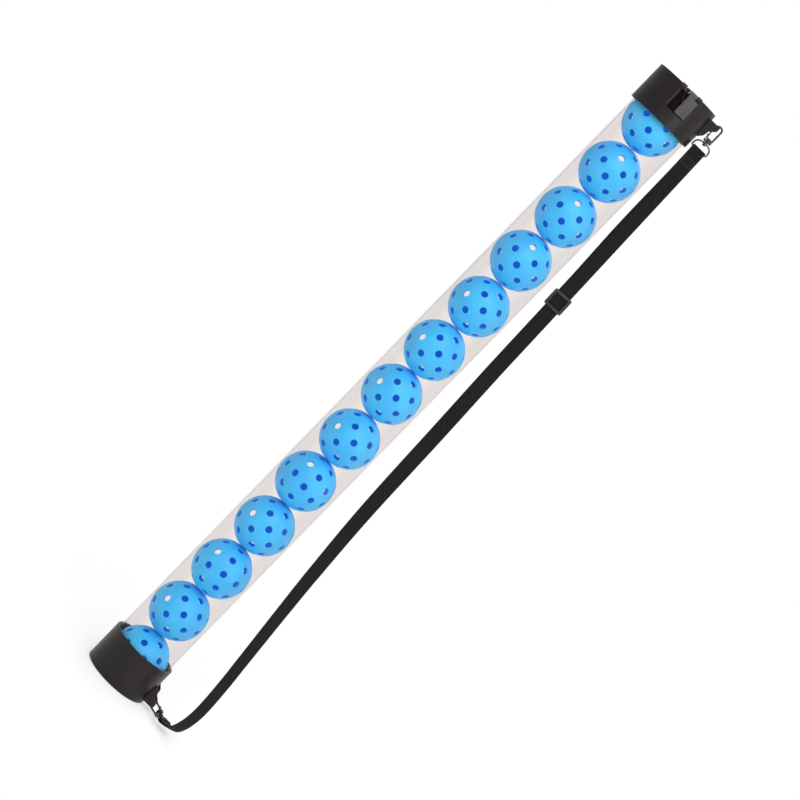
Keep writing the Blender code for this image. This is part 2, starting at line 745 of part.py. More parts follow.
def build_hook_body(name, frame, parts, cutters, finish):
    """Hook wire, base block and the swivel stem with its head, in one casting."""
    reach = (HOOK_LOOP_WIDTH - HOOK_WIRE) / 2
    bend = -reach + HOOK_WIRE / 2
    path = [(reach, -HOOK_LOOP_LENGTH - HOOK_BASE_LENGTH / 2)]
    path += list(arc((0, bend), reach, 0, 180, 10))
    path.append((-reach, bend - HOOK_NOSE_DROP))
    body = wire(name, [(x, 0, z) for x, z in path], HOOK_WIRE / 2, parts, finish)
    body.matrix_world = frame

    base = box(
        name + "_base",
        (-HOOK_BASE_WIDTH / 2, -HOOK_BASE_DEPTH / 2, HOOK_BASE_FOOT),
        (HOOK_LOOP_WIDTH / 2, HOOK_BASE_DEPTH / 2, -HOOK_LOOP_LENGTH),
        cutters,
    )
    bevelled(base, HOOK_BASE_EDGE)
    head_top = EYE_TOP - EYE_BOSS_LENGTH - SEAT_GAP
    stem = turned(
        name + "_stem",
        [
            (0, HOOK_BASE_FOOT + STEM_ROOT),
            (STEM_RADIUS, HOOK_BASE_FOOT + STEM_ROOT),
            (STEM_RADIUS, head_top),
            (STEM_HEAD_RADIUS, head_top),
            (STEM_HEAD_RADIUS, head_top - STEM_HEAD_LENGTH + STEM_HEAD_EDGE),
            (STEM_HEAD_RADIUS - STEM_HEAD_EDGE, head_top - STEM_HEAD_LENGTH),
            (0, head_top - STEM_HEAD_LENGTH),
        ],
        cutters,
        closed=False,
        steps=12,
    )
    pin_x, pin_z = gate_pin_place()
    room = GATE_ROOT_RADIUS + SEAT_GAP
    slot = box(
        name + "_slot",
        (-HOOK_BASE_WIDTH / 2 - CUT_MARGIN, -GATE_WIDTH / 2 - SEAT_GAP, pin_z - room),
        (pin_x + room + GATE_SWING_ROOM, GATE_WIDTH / 2 + SEAT_GAP, -HOOK_LOOP_LENGTH + room),
        cutters,
    )
    bore = rod(
        name + "_pin_bore",
        (pin_x, -HOOK_BASE_DEPTH / 2 - CUT_MARGIN, pin_z),
        (pin_x, HOOK_BASE_DEPTH / 2 + CUT_MARGIN, pin_z),
        GATE_PIN_RADIUS + SEAT_GAP,
        cutters,
        sides=8,
    )
    for piece, operation in ((base, "UNION"), (stem, "UNION"), (slot, "DIFFERENCE"), (bore, "DIFFERENCE")):
        piece.matrix_world = frame
        boolean(body, as_cutter(piece), operation)
    return body


def build_gate(name, frame, parts, cutters, finish):
    """The gate between the base and the hook's nose, with its thumb knob; it turns on its own origin."""
    pin_x, pin_z = gate_pin_place()
    reach = (HOOK_LOOP_WIDTH - HOOK_WIRE) / 2
    nose_foot = -reach + HOOK_WIRE / 2 - HOOK_NOSE_DROP
    tip = Vector((-reach - pin_x, 0, nose_foot - GATE_TIP_GAP - pin_z))
    lean = math.atan2(tip.x, tip.z)
    gate = rod(name, (0, -GATE_WIDTH / 2, 0), (0, GATE_WIDTH / 2, 0), GATE_ROOT_RADIUS, parts, finish, sides=12)
    arm = box(
        name + "_arm",
        (-GATE_THICKNESS / 2, -GATE_WIDTH / 2, 0),
        (GATE_THICKNESS / 2, GATE_WIDTH / 2, tip.length),
        cutters,
    )
    knob = rod(
        name + "_knob",
        (0, 0, GATE_KNOB_FROM_PIN),
        (-GATE_THICKNESS / 2 - GATE_KNOB_HEIGHT, 0, GATE_KNOB_FROM_PIN),
        GATE_KNOB_RADIUS,
        cutters,
        sides=10,
    )
    bore = rod(
        name + "_bore",
        (0, -GATE_WIDTH / 2 - CUT_MARGIN, 0),
        (0, GATE_WIDTH / 2 + CUT_MARGIN, 0),
        GATE_PIN_RADIUS + SEAT_GAP,
        cutters,
        sides=8,
    )
    gate.matrix_world = frame @ Matrix.Translation((pin_x, 0, pin_z))
    for piece, operation in ((arm, "UNION"), (knob, "UNION"), (bore, "DIFFERENCE")):
        piece.matrix_world = gate.matrix_world @ Matrix.Rotation(lean, 4, "Y")
        boolean(gate, as_cutter(piece), operation)
    return gate


def build_gate_pin(name, frame, parts, finish):
    """The rivet that the gate turns on."""
    pin_x, pin_z = gate_pin_place()
    half = HOOK_BASE_DEPTH / 2 + SEAT_GAP
    pin = rod(name, (0, -half, 0), (0, half, 0), GATE_PIN_RADIUS, parts, finish, sides=8)
    pin.matrix_world = frame @ Matrix.Translation((pin_x, 0, pin_z))
    return pin


def build_eye(name, frame, parts, cutters, finish):
    """The swivel eye: a wire stirrup with the webbing's bar, and a bored boss round the stem."""
    half = EYE_HALF_WIDTH
    bar = EYE_BAR_DROP
    shoulder = EYE_TOP - EYE_BOSS_LENGTH / 2
    right = [(EYE_BOSS_RADIUS, shoulder)]
    right += [(half * wide, shoulder - EYE_HEIGHT * low) for wide, low in EYE_SIDE_SHAPE]
    right += list(arc((half - EYE_CORNER, bar + EYE_CORNER), EYE_CORNER, 0, -90, 4))
    points = right + [(-x, z) for x, z in reversed(right)]
    eye = wire(
        name, [(x, 0, z) for x, z in points], EYE_WIRE / 2, parts, finish, cyclic=True, resolution=2
    )
    boss = rod(name + "_boss", (0, 0, EYE_TOP - EYE_BOSS_LENGTH), (0, 0, EYE_TOP), EYE_BOSS_RADIUS, cutters)
    bore = rod(
        name + "_bore", (0, 0, EYE_TOP - EYE_BOSS_LENGTH - CUT_MARGIN), (0, 0, EYE_TOP + CUT_MARGIN),
        STEM_RADIUS + SEAT_GAP, cutters, sides=12,
    )
    eye.matrix_world = frame
    for piece, operation in ((boss, "UNION"), (bore, "DIFFERENCE")):
        piece.matrix_world = frame
        boolean(eye, as_cutter(piece), operation)
    return eye


def top_hook_frame():
    """The upper hook hangs down from the collar's bar, its gate towards the tube."""
    return hook_frame(TOP_HOOK_ORIGIN, UP, (-1, 0, 0))


def lower_outward():
    """Level direction from the closed cap's lug out to the strap, turned towards the front."""
    yaw = math.radians(BOTTOM_HOOK_YAW)
    return Vector((math.cos(yaw), -math.sin(yaw), 0))


def bottom_hook_frame():
    """The lower hook lies level on its bar, its gate upwards."""
    reach = LUG_BAR_INSIDE - BOTTOM_HOOK_SLACK
    across_bar = LUG_BAR_INSIDE + LUG_BAR_THICKNESS / 2
    aside = (across_bar - reach) * math.tan(math.radians(BOTTOM_HOOK_YAW))
    return hook_frame(Vector((reach, aside, BOTTOM_HOOK_HEIGHT)), -lower_outward(), UP)


def build_hook(side, frame, eye_turn, parts, cutters, finishes):
    """A whole snap hook: body, gate, pin and the eye, turned on its stem."""
    build_hook_body(f"{side}_hook", frame, parts, cutters, finishes["metal"])
    build_gate(f"{side}_hook_gate", frame, parts, cutters, finishes["metal"])
    build_gate_pin(f"{side}_gate_pin", frame, parts, finishes["steel"])
    eye_frame = frame @ Matrix.Rotation(math.radians(eye_turn), 4, "Z")
    build_eye(f"{side}_eye", eye_frame, parts, cutters, finishes["metal"])


# Strap


def eye_bar(frame):
    """Middle of the bar that the webbing goes round."""
    return frame @ Vector((0, 0, EYE_BAR_DROP))


def width_direction(height):
    """The webbing's width faces front on the upper run and turns with the lower hook further down."""
    span = STRAP_RUN_FOOT_HEIGHT - TWIST_END_HEIGHT
    share = min(max((STRAP_RUN_FOOT_HEIGHT - height) / span, 0), 1)
    share = share * share * (3 - 2 * share)
    turn = math.radians(BOTTOM_HOOK_YAW) * share
    return Vector((math.cos(turn), math.sin(turn), 0))


def spline_points(controls, beyond, step):
    """Even points along a smooth curve through the control points, heading for the point beyond."""
    padded = [2 * controls[0] - controls[1], *controls, beyond]
    points = []
    for a, b, c, d in zip(padded, padded[1:], padded[2:], padded[3:]):
        count = max(ROUTE_LEAST_POINTS, round((c - b).length / step))
        for i in range(count):
            t = i / count
            points.append(
                0.5 * (2 * b + (c - a) * t + (2 * a - 5 * b + 4 * c - d) * t * t + (3 * b - a - 3 * c + d) * t**3)
            )
    points.append(controls[-1].copy())
    return points


def straight_run():
    """Ends of the straight upper run: the front of the upper eye's bar, and where the strap slackens."""
    top = eye_bar(top_hook_frame()) - Vector((0, BAR_WRAP_RADIUS, 0))
    low = Vector((CAP_RADIUS + STRAP_RUN_FOOT_REACH, top.y, STRAP_RUN_FOOT_HEIGHT))
    return top, low


def run_direction():
    """Unit vector up the straight run."""
    top, low = straight_run()
    return (top - low).normalized()


def run_normal():
    """Unit vector from the front layer towards the layer behind, square to the run."""
    return run_direction().cross(width_direction(OVERALL_LENGTH)).normalized()


def run_across():
    """Unit vector across the webbing, square to the run."""
    return run_normal().cross(run_direction())


def ribbon(name, stations, parts, finish):
    """Webbing through stations of (centre, width direction), with its thickness to both sides."""
    mesh = bpy.data.meshes.new(name)
    shape = bmesh.new()
    bmesh.ops.create_grid(shape, x_segments=1, y_segments=len(stations) - 1, size=1)
    last = len(stations) - 1
    for vertex in shape.verts:
        centre, across = stations[round((vertex.co.y + 1) / 2 * last)]
        vertex.co = centre + across * (vertex.co.x * WEBBING_WIDTH / 2)
    shape.to_mesh(mesh)
    shape.free()
    made = add_object(name, mesh, parts, finish)
    thick = made.modifiers.new("Thickness", "SOLIDIFY")
    thick.thickness = WEBBING_THICKNESS
    thick.offset = 0
    thick.use_even_offset = True
    return made


def wrap(centre, first, axis, turn):
    """Points round a bar: the vector first, from the bar's middle, turned about the axis."""
    for i in range(1, WRAP_STEPS):
        yield centre + Matrix.Rotation(math.radians(turn * i / WRAP_STEPS), 3, axis) @ first


def build_webbing(parts, finish):
    """The strap in one length: sewn tail, lower eye, free run, straight run, upper eye and fold."""
    low_frame = bottom_hook_frame()
    low_bar = eye_bar(low_frame)
    outward = lower_outward()
    low_across = width_direction(0)
    leave = low_bar - UP * BAR_WRAP_RADIUS
    controls = [leave, leave + outward * LEAVE_STRAIGHT]
    controls += [Vector((CAP_RADIUS + reach, y, z)) for reach, y, z in reversed(STRAP_LOW_POINTS)]
    top, low = straight_run()
    controls.append(low)
    free = spline_points(controls, low.lerp(top, 0.3), ROUTE_STEP)

    stations = []
    travelled = 0
    for i, point in enumerate(free[:-1]):
        ahead = (free[i + 1] - point).normalized()
        across = width_direction(point.z)
        across = (across - ahead * across.dot(ahead)).normalized()
        stations.append((point, across, ahead, travelled))
        travelled += (free[i + 1] - point).length

    tail = []
    for point, across, ahead, along in stations:
        if along > SEWN_TAIL_LENGTH:
            break
        apart = layer_distance(along)
        tail.append((point + ahead.cross(across) * apart, across))
    tail_start = leave + UP * 2 * BAR_WRAP_RADIUS
    tail[0] = (tail_start, low_across)
    around = [
        (point, low_across)
        for point in wrap(low_bar, UP * BAR_WRAP_RADIUS, low_across, -180)
    ]
    upper_across = width_direction(OVERALL_LENGTH)
    up_run = run_direction()
    behind = run_normal()
    upper_bar = eye_bar(top_hook_frame())
    front = -behind * BAR_WRAP_RADIUS
    over = [(point, upper_across) for point in wrap(upper_bar, front, upper_across, -180)]
    fold = []
    for share in (0, 0.2, 0.4, 0.6, 0.8, 1):
        along = FOLD_LENGTH * share
        fold.append((upper_bar + front - up_run * along + behind * layer_distance(along), upper_across))
    path = list(reversed(tail)) + around
    path += [(point, across) for point, across, _, _ in stations]
    path += [(low, upper_across), (upper_bar + front, upper_across)]
    path += over + fold
    length = sum((b[0] - a[0]).length for a, b in zip(path, path[1:]))
    print(f"strap webbing: {1000 * length:.0f} mm in its long piece")
    return ribbon("strap_webbing", path, parts, finish)


def layer_distance(along):
    """Centre distance of the two layers, from round the bar to lying on each other."""
    share = min(along / LAYER_MERGE_LENGTH, 1)
    share = share * share * (3 - 2 * share)
    return 2 * BAR_WRAP_RADIUS + (LAYER_STEP - 2 * BAR_WRAP_RADIUS) * share


def slider_centre():
    """Middle of the slider, on the front layer."""
    top, low = straight_run()
    share = (SLIDER_HEIGHT - low.z) / (top.z - low.z)
    return low.lerp(top, share)


def slider_frame():
    """Matrix of the slider: its own Z up the run, its own Y towards the layer behind."""
    frame = Matrix((run_across(), run_normal(), run_direction())).transposed().to_4x4()
    frame.translation = slider_centre()
    return frame


def middle_bar_offset():
    """How far the slider's middle bar lies behind the front layer."""
    return LAYER_STEP + WEBBING_THICKNESS / 2 + SEAT_GAP + SLIDER_MIDDLE_RADIUS


def build_return(parts, finish):
    """The layer behind the straight run, from the fold at the upper eye down to the slider's loop."""
    top, _ = straight_run()
    behind = run_normal() * LAYER_STEP
    start = top - run_direction() * (FOLD_LENGTH + SEAT_GAP) + behind
    end = slider_centre() + run_direction() * (SLIDER_LENGTH / 2 + SLIDER_TAIL + SEAT_GAP) + behind
    square = width_direction(OVERALL_LENGTH)
    stations = [
        (start.lerp(end, share), square.lerp(run_across(), share).normalized())
        for share in (0, 0.25, 0.5, 0.75, 1)
    ]
    print(
        f"return layer: fixed end {tuple(round(v, 5) for v in start)}, length {1000 * (end - start).length:.1f} mm"
    )
    return ribbon("strap_return", stations, parts, finish)


def build_slider_loop(parts, finish):
    """The webbing's end: down in front of the middle bar, round it and up again behind, sewn there."""
    frame = slider_frame()
    bar = middle_bar_offset()
    turn_radius = bar - LAYER_STEP
    high = SLIDER_LENGTH / 2 + SLIDER_TAIL
    side_view = [(LAYER_STEP, high), (LAYER_STEP, high / 2), (LAYER_STEP, 0)]
    side_view += [
        (bar - turn_radius * math.cos(math.radians(30 * i)), -turn_radius * math.sin(math.radians(30 * i)))
        for i in range(1, 6)
    ]
    outer = bar + turn_radius
    tail_step = 2 * LAYER_STEP
    side_view += [(outer, 0), (outer, SLIDER_LOOP_STRAIGHT), (tail_step, high - SLIDER_SEWN), (tail_step, high)]
    stations = [(frame @ Vector((0, y, z)), run_across()) for y, z in side_view]
    return ribbon("strap_slider_loop", stations, parts, finish)


def build_slider(parts, cutters, finish):
    """The slider: side rails, end bars in front of the webbing and a middle bar behind it."""
    frame = slider_frame()
    half_width = WEBBING_WIDTH / 2 + 2 * SEAT_GAP + SLIDER_RAIL
    inner = half_width - SLIDER_RAIL
    front = -WEBBING_THICKNESS / 2 - SEAT_GAP
    back = middle_bar_offset() + SLIDER_MIDDLE_RADIUS
    half = SLIDER_LENGTH / 2
    slider = box("strap_slider", (-half_width, front - SLIDER_FRONT, -half), (half_width, back, half), parts, finish)
    bevelled(slider, SLIDER_CORNER, 2)
    channel = box(
        "slider_channel",
        (-inner, front, -half - CUT_MARGIN),
        (inner, back + CUT_MARGIN, half + CUT_MARGIN),
        cutters,
    )
    window = box(
        "slider_window",
        (-inner, front - SLIDER_FRONT - CUT_MARGIN, -half + SLIDER_BAR),
        (inner, back, half - SLIDER_BAR),
        cutters,
    )
    middle = rod(
        "slider_middle_bar",
        (-inner - SLIDER_RAIL / 2, middle_bar_offset(), 0),
        (inner + SLIDER_RAIL / 2, middle_bar_offset(), 0),
        SLIDER_MIDDLE_RADIUS,
        cutters,
        sides=12,
    )
    slider.matrix_world = frame
    for piece, operation in ((channel, "DIFFERENCE"), (window, "DIFFERENCE"), (middle, "UNION")):
        piece.matrix_world = frame
        boolean(slider, as_cutter(piece), operation)
    return slider


def report_joints():
    """Prints where the moving pieces turn and how far the balls can rise, for whoever poses the model."""
    shelf = nose_shelf_height()
    last = ball_places()[-1]
    reach = BORE_RADIUS - NOSE_REACH - math.hypot(last.x, last.y)
    rise = shelf - math.sqrt((BALL_DIAMETER / 2) ** 2 - reach**2) - last.z
    pin_x, pin_z = gate_pin_place()
    places = {
        "catch lever axis": (0, -PIN_FORWARD, PIN_HEIGHT),
        "upper gate axis": top_hook_frame() @ Vector((pin_x, 0, pin_z)),
        "lower gate axis": bottom_hook_frame() @ Vector((pin_x, 0, pin_z)),
        "strap swing axis": TOP_HOOK_ORIGIN,
        "lower swivel axis": bottom_hook_frame().translation,
        "slider direction": run_direction(),
        "slider centre": slider_centre(),
        "top ball centre": last,
    }
    for what, place in places.items():
        print(what, tuple(round(value, 5) for value in place))
    print(f"ball column: {len(ball_places())} balls, free rise {1000 * rise:.1f} mm")


def main():
    """Builds every piece."""
    clear_scene()
    parts = new_collection("pickleball_pickup_tube")
    cutters = new_collection("cutters")
    finishes = {
        "clear": make_material("clear_plastic", (0.86, 0.85, 0.84), 0.08, alpha=0.25),
        "cap": make_material("black_plastic", (0.022, 0.020, 0.021), 0.42),
        "ball": make_material("sky_blue_plastic", (0.045, 0.42, 0.90), 0.45),
        "metal": make_material("black_metal", (0.03, 0.03, 0.032), 0.30, 0.85),
        "steel": make_material("bright_steel", (0.55, 0.55, 0.56), 0.28, 1.0),
        "webbing": make_material("black_webbing", (0.018, 0.017, 0.018), 0.85),
        "slider": make_material("grey_black_plastic", (0.05, 0.05, 0.052), 0.38),
    }
    build_tube(parts, finishes["clear"])
    build_bottom_cap(parts, cutters, finishes["cap"])
    build_top_cap(parts, cutters, finishes["cap"])
    build_catch_lever(parts, cutters, finishes["cap"])
    build_catch_pin(parts, finishes["steel"])
    build_catch_spring(parts, finishes["steel"])
    build_balls(parts, finishes["ball"])
    build_hook("top", top_hook_frame(), 0, parts, cutters, finishes)
    build_hook("bottom", bottom_hook_frame(), 90, parts, cutters, finishes)
    build_webbing(parts, finishes["webbing"])
    build_return(parts, finishes["webbing"])
    build_slider_loop(parts, finishes["webbing"])
    build_slider(parts, cutters, finishes["slider"])
    report_joints()


main()
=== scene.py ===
"""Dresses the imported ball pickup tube: clear tube, two moulded caps, sprung catch, balls, snap hooks and strap.

The model stands upright on its closed cap, +Z runs up the tube, the latch faces -Y and the strap hangs at +X.
Sizes are in metres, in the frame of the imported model, and angles are in degrees.
"""

from __future__ import annotations

import logging
from dataclasses import dataclass, field
from enum import Enum
from math import atan2, cos, hypot, pi, radians, sin, sqrt
from typing import Any, Iterable, Sequence

import bpy
from mathutils import Matrix, Vector


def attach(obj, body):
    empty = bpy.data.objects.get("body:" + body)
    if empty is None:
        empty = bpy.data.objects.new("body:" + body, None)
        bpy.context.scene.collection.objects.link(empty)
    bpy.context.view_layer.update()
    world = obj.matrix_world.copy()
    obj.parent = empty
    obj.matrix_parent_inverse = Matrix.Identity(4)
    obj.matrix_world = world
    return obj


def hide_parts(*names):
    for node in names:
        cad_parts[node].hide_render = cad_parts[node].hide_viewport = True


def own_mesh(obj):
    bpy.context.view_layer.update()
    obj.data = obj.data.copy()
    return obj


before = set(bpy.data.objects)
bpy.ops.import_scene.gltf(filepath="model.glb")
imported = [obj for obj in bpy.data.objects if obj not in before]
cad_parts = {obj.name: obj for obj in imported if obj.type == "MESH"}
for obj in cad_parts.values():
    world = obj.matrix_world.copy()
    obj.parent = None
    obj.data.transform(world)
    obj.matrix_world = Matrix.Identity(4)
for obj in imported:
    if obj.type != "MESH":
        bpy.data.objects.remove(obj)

LOG = logging.getLogger("pickup_tube")

Piece = bpy.types.Object
Material = bpy.types.Material
Point = tuple[float, float]
Place = tuple[float, float, float]
Colour = tuple[float, float, float]
Station = tuple[Vector, Vector]
SeamRow = tuple[Vector, Vector, Vector]

UP = Vector((0.0, 0.0, 1.0))
WHITE = (1.0, 1.0, 1.0)
MERGE = 0.000002
BOOLEAN_MERGE = 0.00001


# ---------------------------------------------------------------- sizes that pieces share


@dataclass(frozen=True)
class TubeSizes:
    """Tube, caps, balls and the catch's axis, from the ball outward."""

    overall: float = 0.9906
    gap: float = 0.0003
    ball_radius: float = 0.037
    bore: float = 0.039
    tube: float = 0.0405
    socket: float = 0.0408
    cap: float = 0.04445
    floor: float = 0.003
    bottom_cap: float = 0.0529
    collar_foot: float = 0.9397
    shoulder: float = 0.9537
    pin_y: float = -0.04205
    pin_z: float = 0.9885
    pin_bore: float = 0.0012


@dataclass(frozen=True)
class StrapSizes:
    """Webbing, and how it lies in layers and round bars."""

    width: float = 0.019
    thickness: float = 0.0013
    wrap: float = 0.00195
    layer: float = 0.0016
    sewn_tail: float = 0.017
    fold: float = 0.026
    merge: float = 0.012
    slider_bar: float = 0.0011

    @property
    def bar_offset(self) -> float:
        """How far the slider's middle bar lies behind the front layer."""
        return self.layer + self.thickness / 2 + SIZES.gap + self.slider_bar


@dataclass(frozen=True)
class HookSizes:
    """Snap hook, along its own +Z from the eye to the point where it hangs."""

    wire: float = 0.0025
    loop_width: float = 0.0119
    loop_length: float = 0.0173
    nose_drop: float = 0.0045
    base_length: float = 0.0062
    base_width: float = 0.0106
    base_depth: float = 0.0054
    gate_thickness: float = 0.0017
    gate_width: float = 0.0026
    gate_root: float = 0.0015
    pin: float = 0.0006
    pin_bore: float = 0.0009
    pin_x: float = -0.0038
    pin_z: float = -0.0200
    tip_gap: float = 0.0005
    stem: float = 0.0012
    head: float = 0.0023
    head_length: float = 0.0016
    eye_top: float = -0.0238
    boss: float = 0.0032
    boss_length: float = 0.0028
    eye_wire: float = 0.0020
    eye_height: float = 0.0133
    eye_half: float = 0.0113
    eye_corner: float = 0.0016
    bar_drop: float = -0.0361

    @property
    def reach(self) -> float:
        """Distance of the loop's wires from its middle."""
        return (self.loop_width - self.wire) / 2

    @property
    def bend(self) -> float:
        """Height of the centre of the loop's bend."""
        return -self.reach + self.wire / 2

    @property
    def nose(self) -> float:
        """Height of the nose that the gate closes on."""
        return self.bend - self.nose_drop


SIZES = TubeSizes()
STRAP = StrapSizes()
HOOK = HookSizes()


class Slot(Enum):
    """Material slots of the record that the pieces take their finishes from."""

    CLEAR = "clear_plastic"
    CAPS = "black_plastic"
    BALLS = "sky_blue_plastic"
    METAL = "black_metal"
    STEEL = "bright_steel"
    WEBBING = "black_webbing"
    SLIDER = "slider_plastic"


class Cut(Enum):
    """How a helper shape works on a piece."""

    UNION = "UNION"
    DIFFERENCE = "DIFFERENCE"
    INTERSECT = "INTERSECT"


def ease(share: float) -> float:
    """A share from 0 to 1, eased at both ends."""
    return share * share * (3 - 2 * share)


def turned(angle: float, axis: str) -> Matrix:
    """A turn about an axis."""
    return Matrix.Rotation(radians(angle), 4, axis)


def columns(*axes: Vector) -> Matrix:
    """A matrix with these three axes as its columns."""
    return Matrix(axes).transposed()


# ---------------------------------------------------------------- shader writing


class Value:
    """A socket that can be used in ordinary arithmetic; each operator adds one Math node."""

    def __init__(self, sheet: Sheet, socket: Any) -> None:
        """Wraps an output socket of a sheet."""
        self.sheet, self.socket = sheet, socket

    def math(self, operation: str, *others: Value | float) -> Value:
        """This value and others through one Math node."""
        return self.sheet.add("Math", dict(enumerate((self, *others))), operation=operation)

    def __add__(self, other: Value | float) -> Value:
        """This value plus another."""
        return self.math("ADD", other)

    def __sub__(self, other: Value | float) -> Value:
        """This value less another."""
        return self.math("SUBTRACT", other)

    def __rsub__(self, other: float) -> Value:
        """A number less this value."""
        return self.sheet.add("Math", {0: other, 1: self}, operation="SUBTRACT")

    def __mul__(self, other: Value | float) -> Value:
        """This value times another."""
        return self.math("MULTIPLY", other)

    def __truediv__(self, other: Value | float) -> Value:
        """This value over another."""
        return self.math("DIVIDE", other)

    __radd__ = __add__
    __rmul__ = __mul__

    def size(self) -> Value:
        """This value without its sign."""
        return self.math("ABSOLUTE")

    def most(self, other: Value | float) -> Value:
        """The larger of this value and another."""
        return self.math("MAXIMUM", other)

    def wave(self, length: float) -> Value:
        """A sine from 0 to 1 that repeats after each length."""
        return (self * (2 * pi / length)).math("SINE") * 0.5 + 0.5

    def ramp(self, low: float, high: float, start: float = 0.0, end: float = 1.0) -> Value:
        """Maps low to high smoothly on start to end, held at both ends."""
        values = {0: self, 1: low, 2: high, 3: start, 4: end}
        return self.sheet.add("MapRange", values, interpolation_type="SMOOTHSTEP")


class Sheet:
    """The node sheet of a material or of the world."""

    def __init__(self, owner: Any) -> None:
        """Starts with an empty sheet."""
        owner.use_nodes = True
        self.tree = owner.node_tree
        self.tree.nodes.clear()

    def node(self, kind: str, values: dict[Any, Any] | None = None, **settings: Any) -> Any:
        """Adds any node: its settings first, then the values or links of its sockets.

        Args:
            kind: the node's type, after ShaderNode.
            values: what goes into each input, by index or name; a colour needs no alpha.
            settings: its properties, such as an operation.

        Returns:
            The node.
        """
        made = self.tree.nodes.new(f"ShaderNode{kind}")
        for name, setting in settings.items():
            setattr(made, name, setting)
        for which, value in (values or {}).items():
            socket = made.inputs[which]
            if isinstance(value, Value):
                self.tree.links.new(value.socket, socket)
            elif isinstance(value, bpy.types.NodeSocket):
                self.tree.links.new(value, socket)
            else:
                socket.default_value = (*value, 1.0) if socket.type == "RGBA" else value
        return made

    def add(self, kind: str, values: dict[Any, Any] | None = None, out: int | str = 0, **settings: Any) -> Value:
        """Adds a node and wraps one of its outputs."""
        return Value(self, self.node(kind, values, **settings).outputs[out])

    def place(self, stretch: Place = (1.0, 1.0, 1.0)) -> Value:
        """The point on the piece, in metres, stretched along X, Y and Z."""
        return self.add("Mapping", {"Vector": self.add("TexCoord", out="Object"), "Scale": stretch})

    def radius(self) -> Value:
        """Distance from the tube's axis."""
        return self.add("VectorMath", {0: self.place((1.0, 1.0, 0.0))}, 1, operation="LENGTH")

    def along(self, name: str) -> tuple[Value, Value]:
        """Across and along on a piece's own map, both in metres."""
        split = self.node("SeparateXYZ", {0: self.add("UVMap", uv_map=name)})
        return Value(self, split.outputs[0]), Value(self, split.outputs[1])

    def rays(self, first: str, *others: str) -> Value:
        """1 for these kinds of ray, else 0."""
        seen = self.add("LightPath", out=f"Is {first} Ray")
        return seen.most(self.rays(*others)) if others else seen

    def noise(self, scale: float, detail: float = 3.0, rough: float = 0.5,
              stretch: Place = (1.0, 1.0, 1.0)) -> Value:
        """Cloudy variation from 0 to 1, with so many lumps to a metre and so many finer layers."""
        values = {"Vector": self.place(stretch), "Scale": scale, "Detail": detail, "Roughness": rough}
        return self.add("TexNoise", values)

    def blend(self, share: Value | float, first: Any, second: Any) -> Value:
        """Mixes two colours: a share of 0 gives the first, 1 the second."""
        return self.add("Mix", {0: share, 6: first, 7: second}, 2, data_type="RGBA")

    def mix(self, share: Value, first: Any, second: Any) -> Any:
        """Mixes two shaders: a share of 0 gives the first, 1 the second."""
        return self.node("MixShader", {0: share, 1: first.outputs[0], 2: second.outputs[0]})

    def bump(self, height: Value, depth: float, strength: float = 1.0, under: Value | None = None) -> Value:
        """The normal of a height from 0 to 1 that stands so many metres proud, over another bump if given."""
        values = {"Height": height, "Distance": depth, "Strength": strength}
        return self.add("Bump", values if under is None else {**values, "Normal": under})

    def principled(self, **sockets: Any) -> Any:
        """A Principled shader with these sockets, named with _ for each space."""
        return self.node("BsdfPrincipled", {name.replace("_", " "): value for name, value in sockets.items()})


# ---------------------------------------------------------------- finishes


@dataclass(frozen=True)
class Finish:
    """A finish; each kind writes its own shader."""

    name: str

    def shader(self, sheet: Sheet) -> Any:
        """Writes the nodes of the finish, and gives the last one."""
        raise NotImplementedError

    def make(self) -> Material:
        """Builds the material.

        Returns:
            The material.
        """
        material = bpy.data.materials.new(self.name)
        sheet = Sheet(material)
        sheet.node("OutputMaterial", {"Surface": self.shader(sheet).outputs[0]})
        return material


@dataclass(frozen=True)
class MouldedPlastic(Finish):
    """Moulded plastic with spark-eroded grain and faint flow marks, and painted shade where a pocket is sunk in it:
    there the wall is duller and darker.
    """

    colour: Colour
    worn: Colour
    roughness: float
    grain: float = 0.00005
    grain_scale: float = 2600.0
    gloss: float = 0.38
    # pocket gives the radius and height band (near, far, low, high) that gets painted shade; the next field is the low
    # gloss of that painted shade.
    pocket: tuple[float, float, float, float] | None = None
    sunk_gloss: float = 0.05
    refraction: float = 1.49

    def shader(self, sheet: Sheet) -> Any:
        """Writes the nodes.

        Args:
            sheet: where they go.

        Returns:
            The last node.
        """
        clouds = sheet.noise(26.0, 4.0, 0.6)
        streaks = sheet.noise(60.0, 3.0, 0.55, (1.0, 1.0, 0.12))
        specks = sheet.noise(420.0, 2.0, 0.6)
        tint = sheet.blend((clouds * 0.6 + streaks * 0.4).ramp(0.35, 0.68), self.colour, self.worn)
        rough = self.roughness + (clouds - 0.5) * 0.16 + (specks - 0.5) * 0.10
        flow = sheet.bump(sheet.noise(34.0, 2.0), 0.0003, 0.35)
        normal = sheet.bump(sheet.noise(self.grain_scale, 2.0, 0.7), self.grain, 0.55, flow)
        shared = {"Normal": normal, "IOR": self.refraction}
        wall = sheet.principled(Base_Color=tint, Roughness=rough, Specular_IOR_Level=self.gloss, **shared)
        if self.pocket is None:
            return wall
        # Painted shade: inside the pocket band the wall takes the plain dark colour, more roughness and a low gloss,
        # so the recess renders darker.
        near, far, low, high = self.pocket
        radius = sheet.radius()
        height = sheet.add("SeparateXYZ", {0: sheet.place()}, 2)
        sunk = radius.ramp(near - 0.0004, near) * radius.ramp(far - 0.0024, far, 1.0, 0.0)
        sunk = sunk * height.ramp(low - 0.0008, low) * height.ramp(high, high + 0.0012, 1.0, 0.0)
        # deep is the darker, duller wall of the painted shade.
        deep = sheet.principled(
            Base_Color=self.colour, Roughness=rough + 0.2, Specular_IOR_Level=self.sunk_gloss, **shared,
        )
        return sheet.mix(sunk, wall, deep)


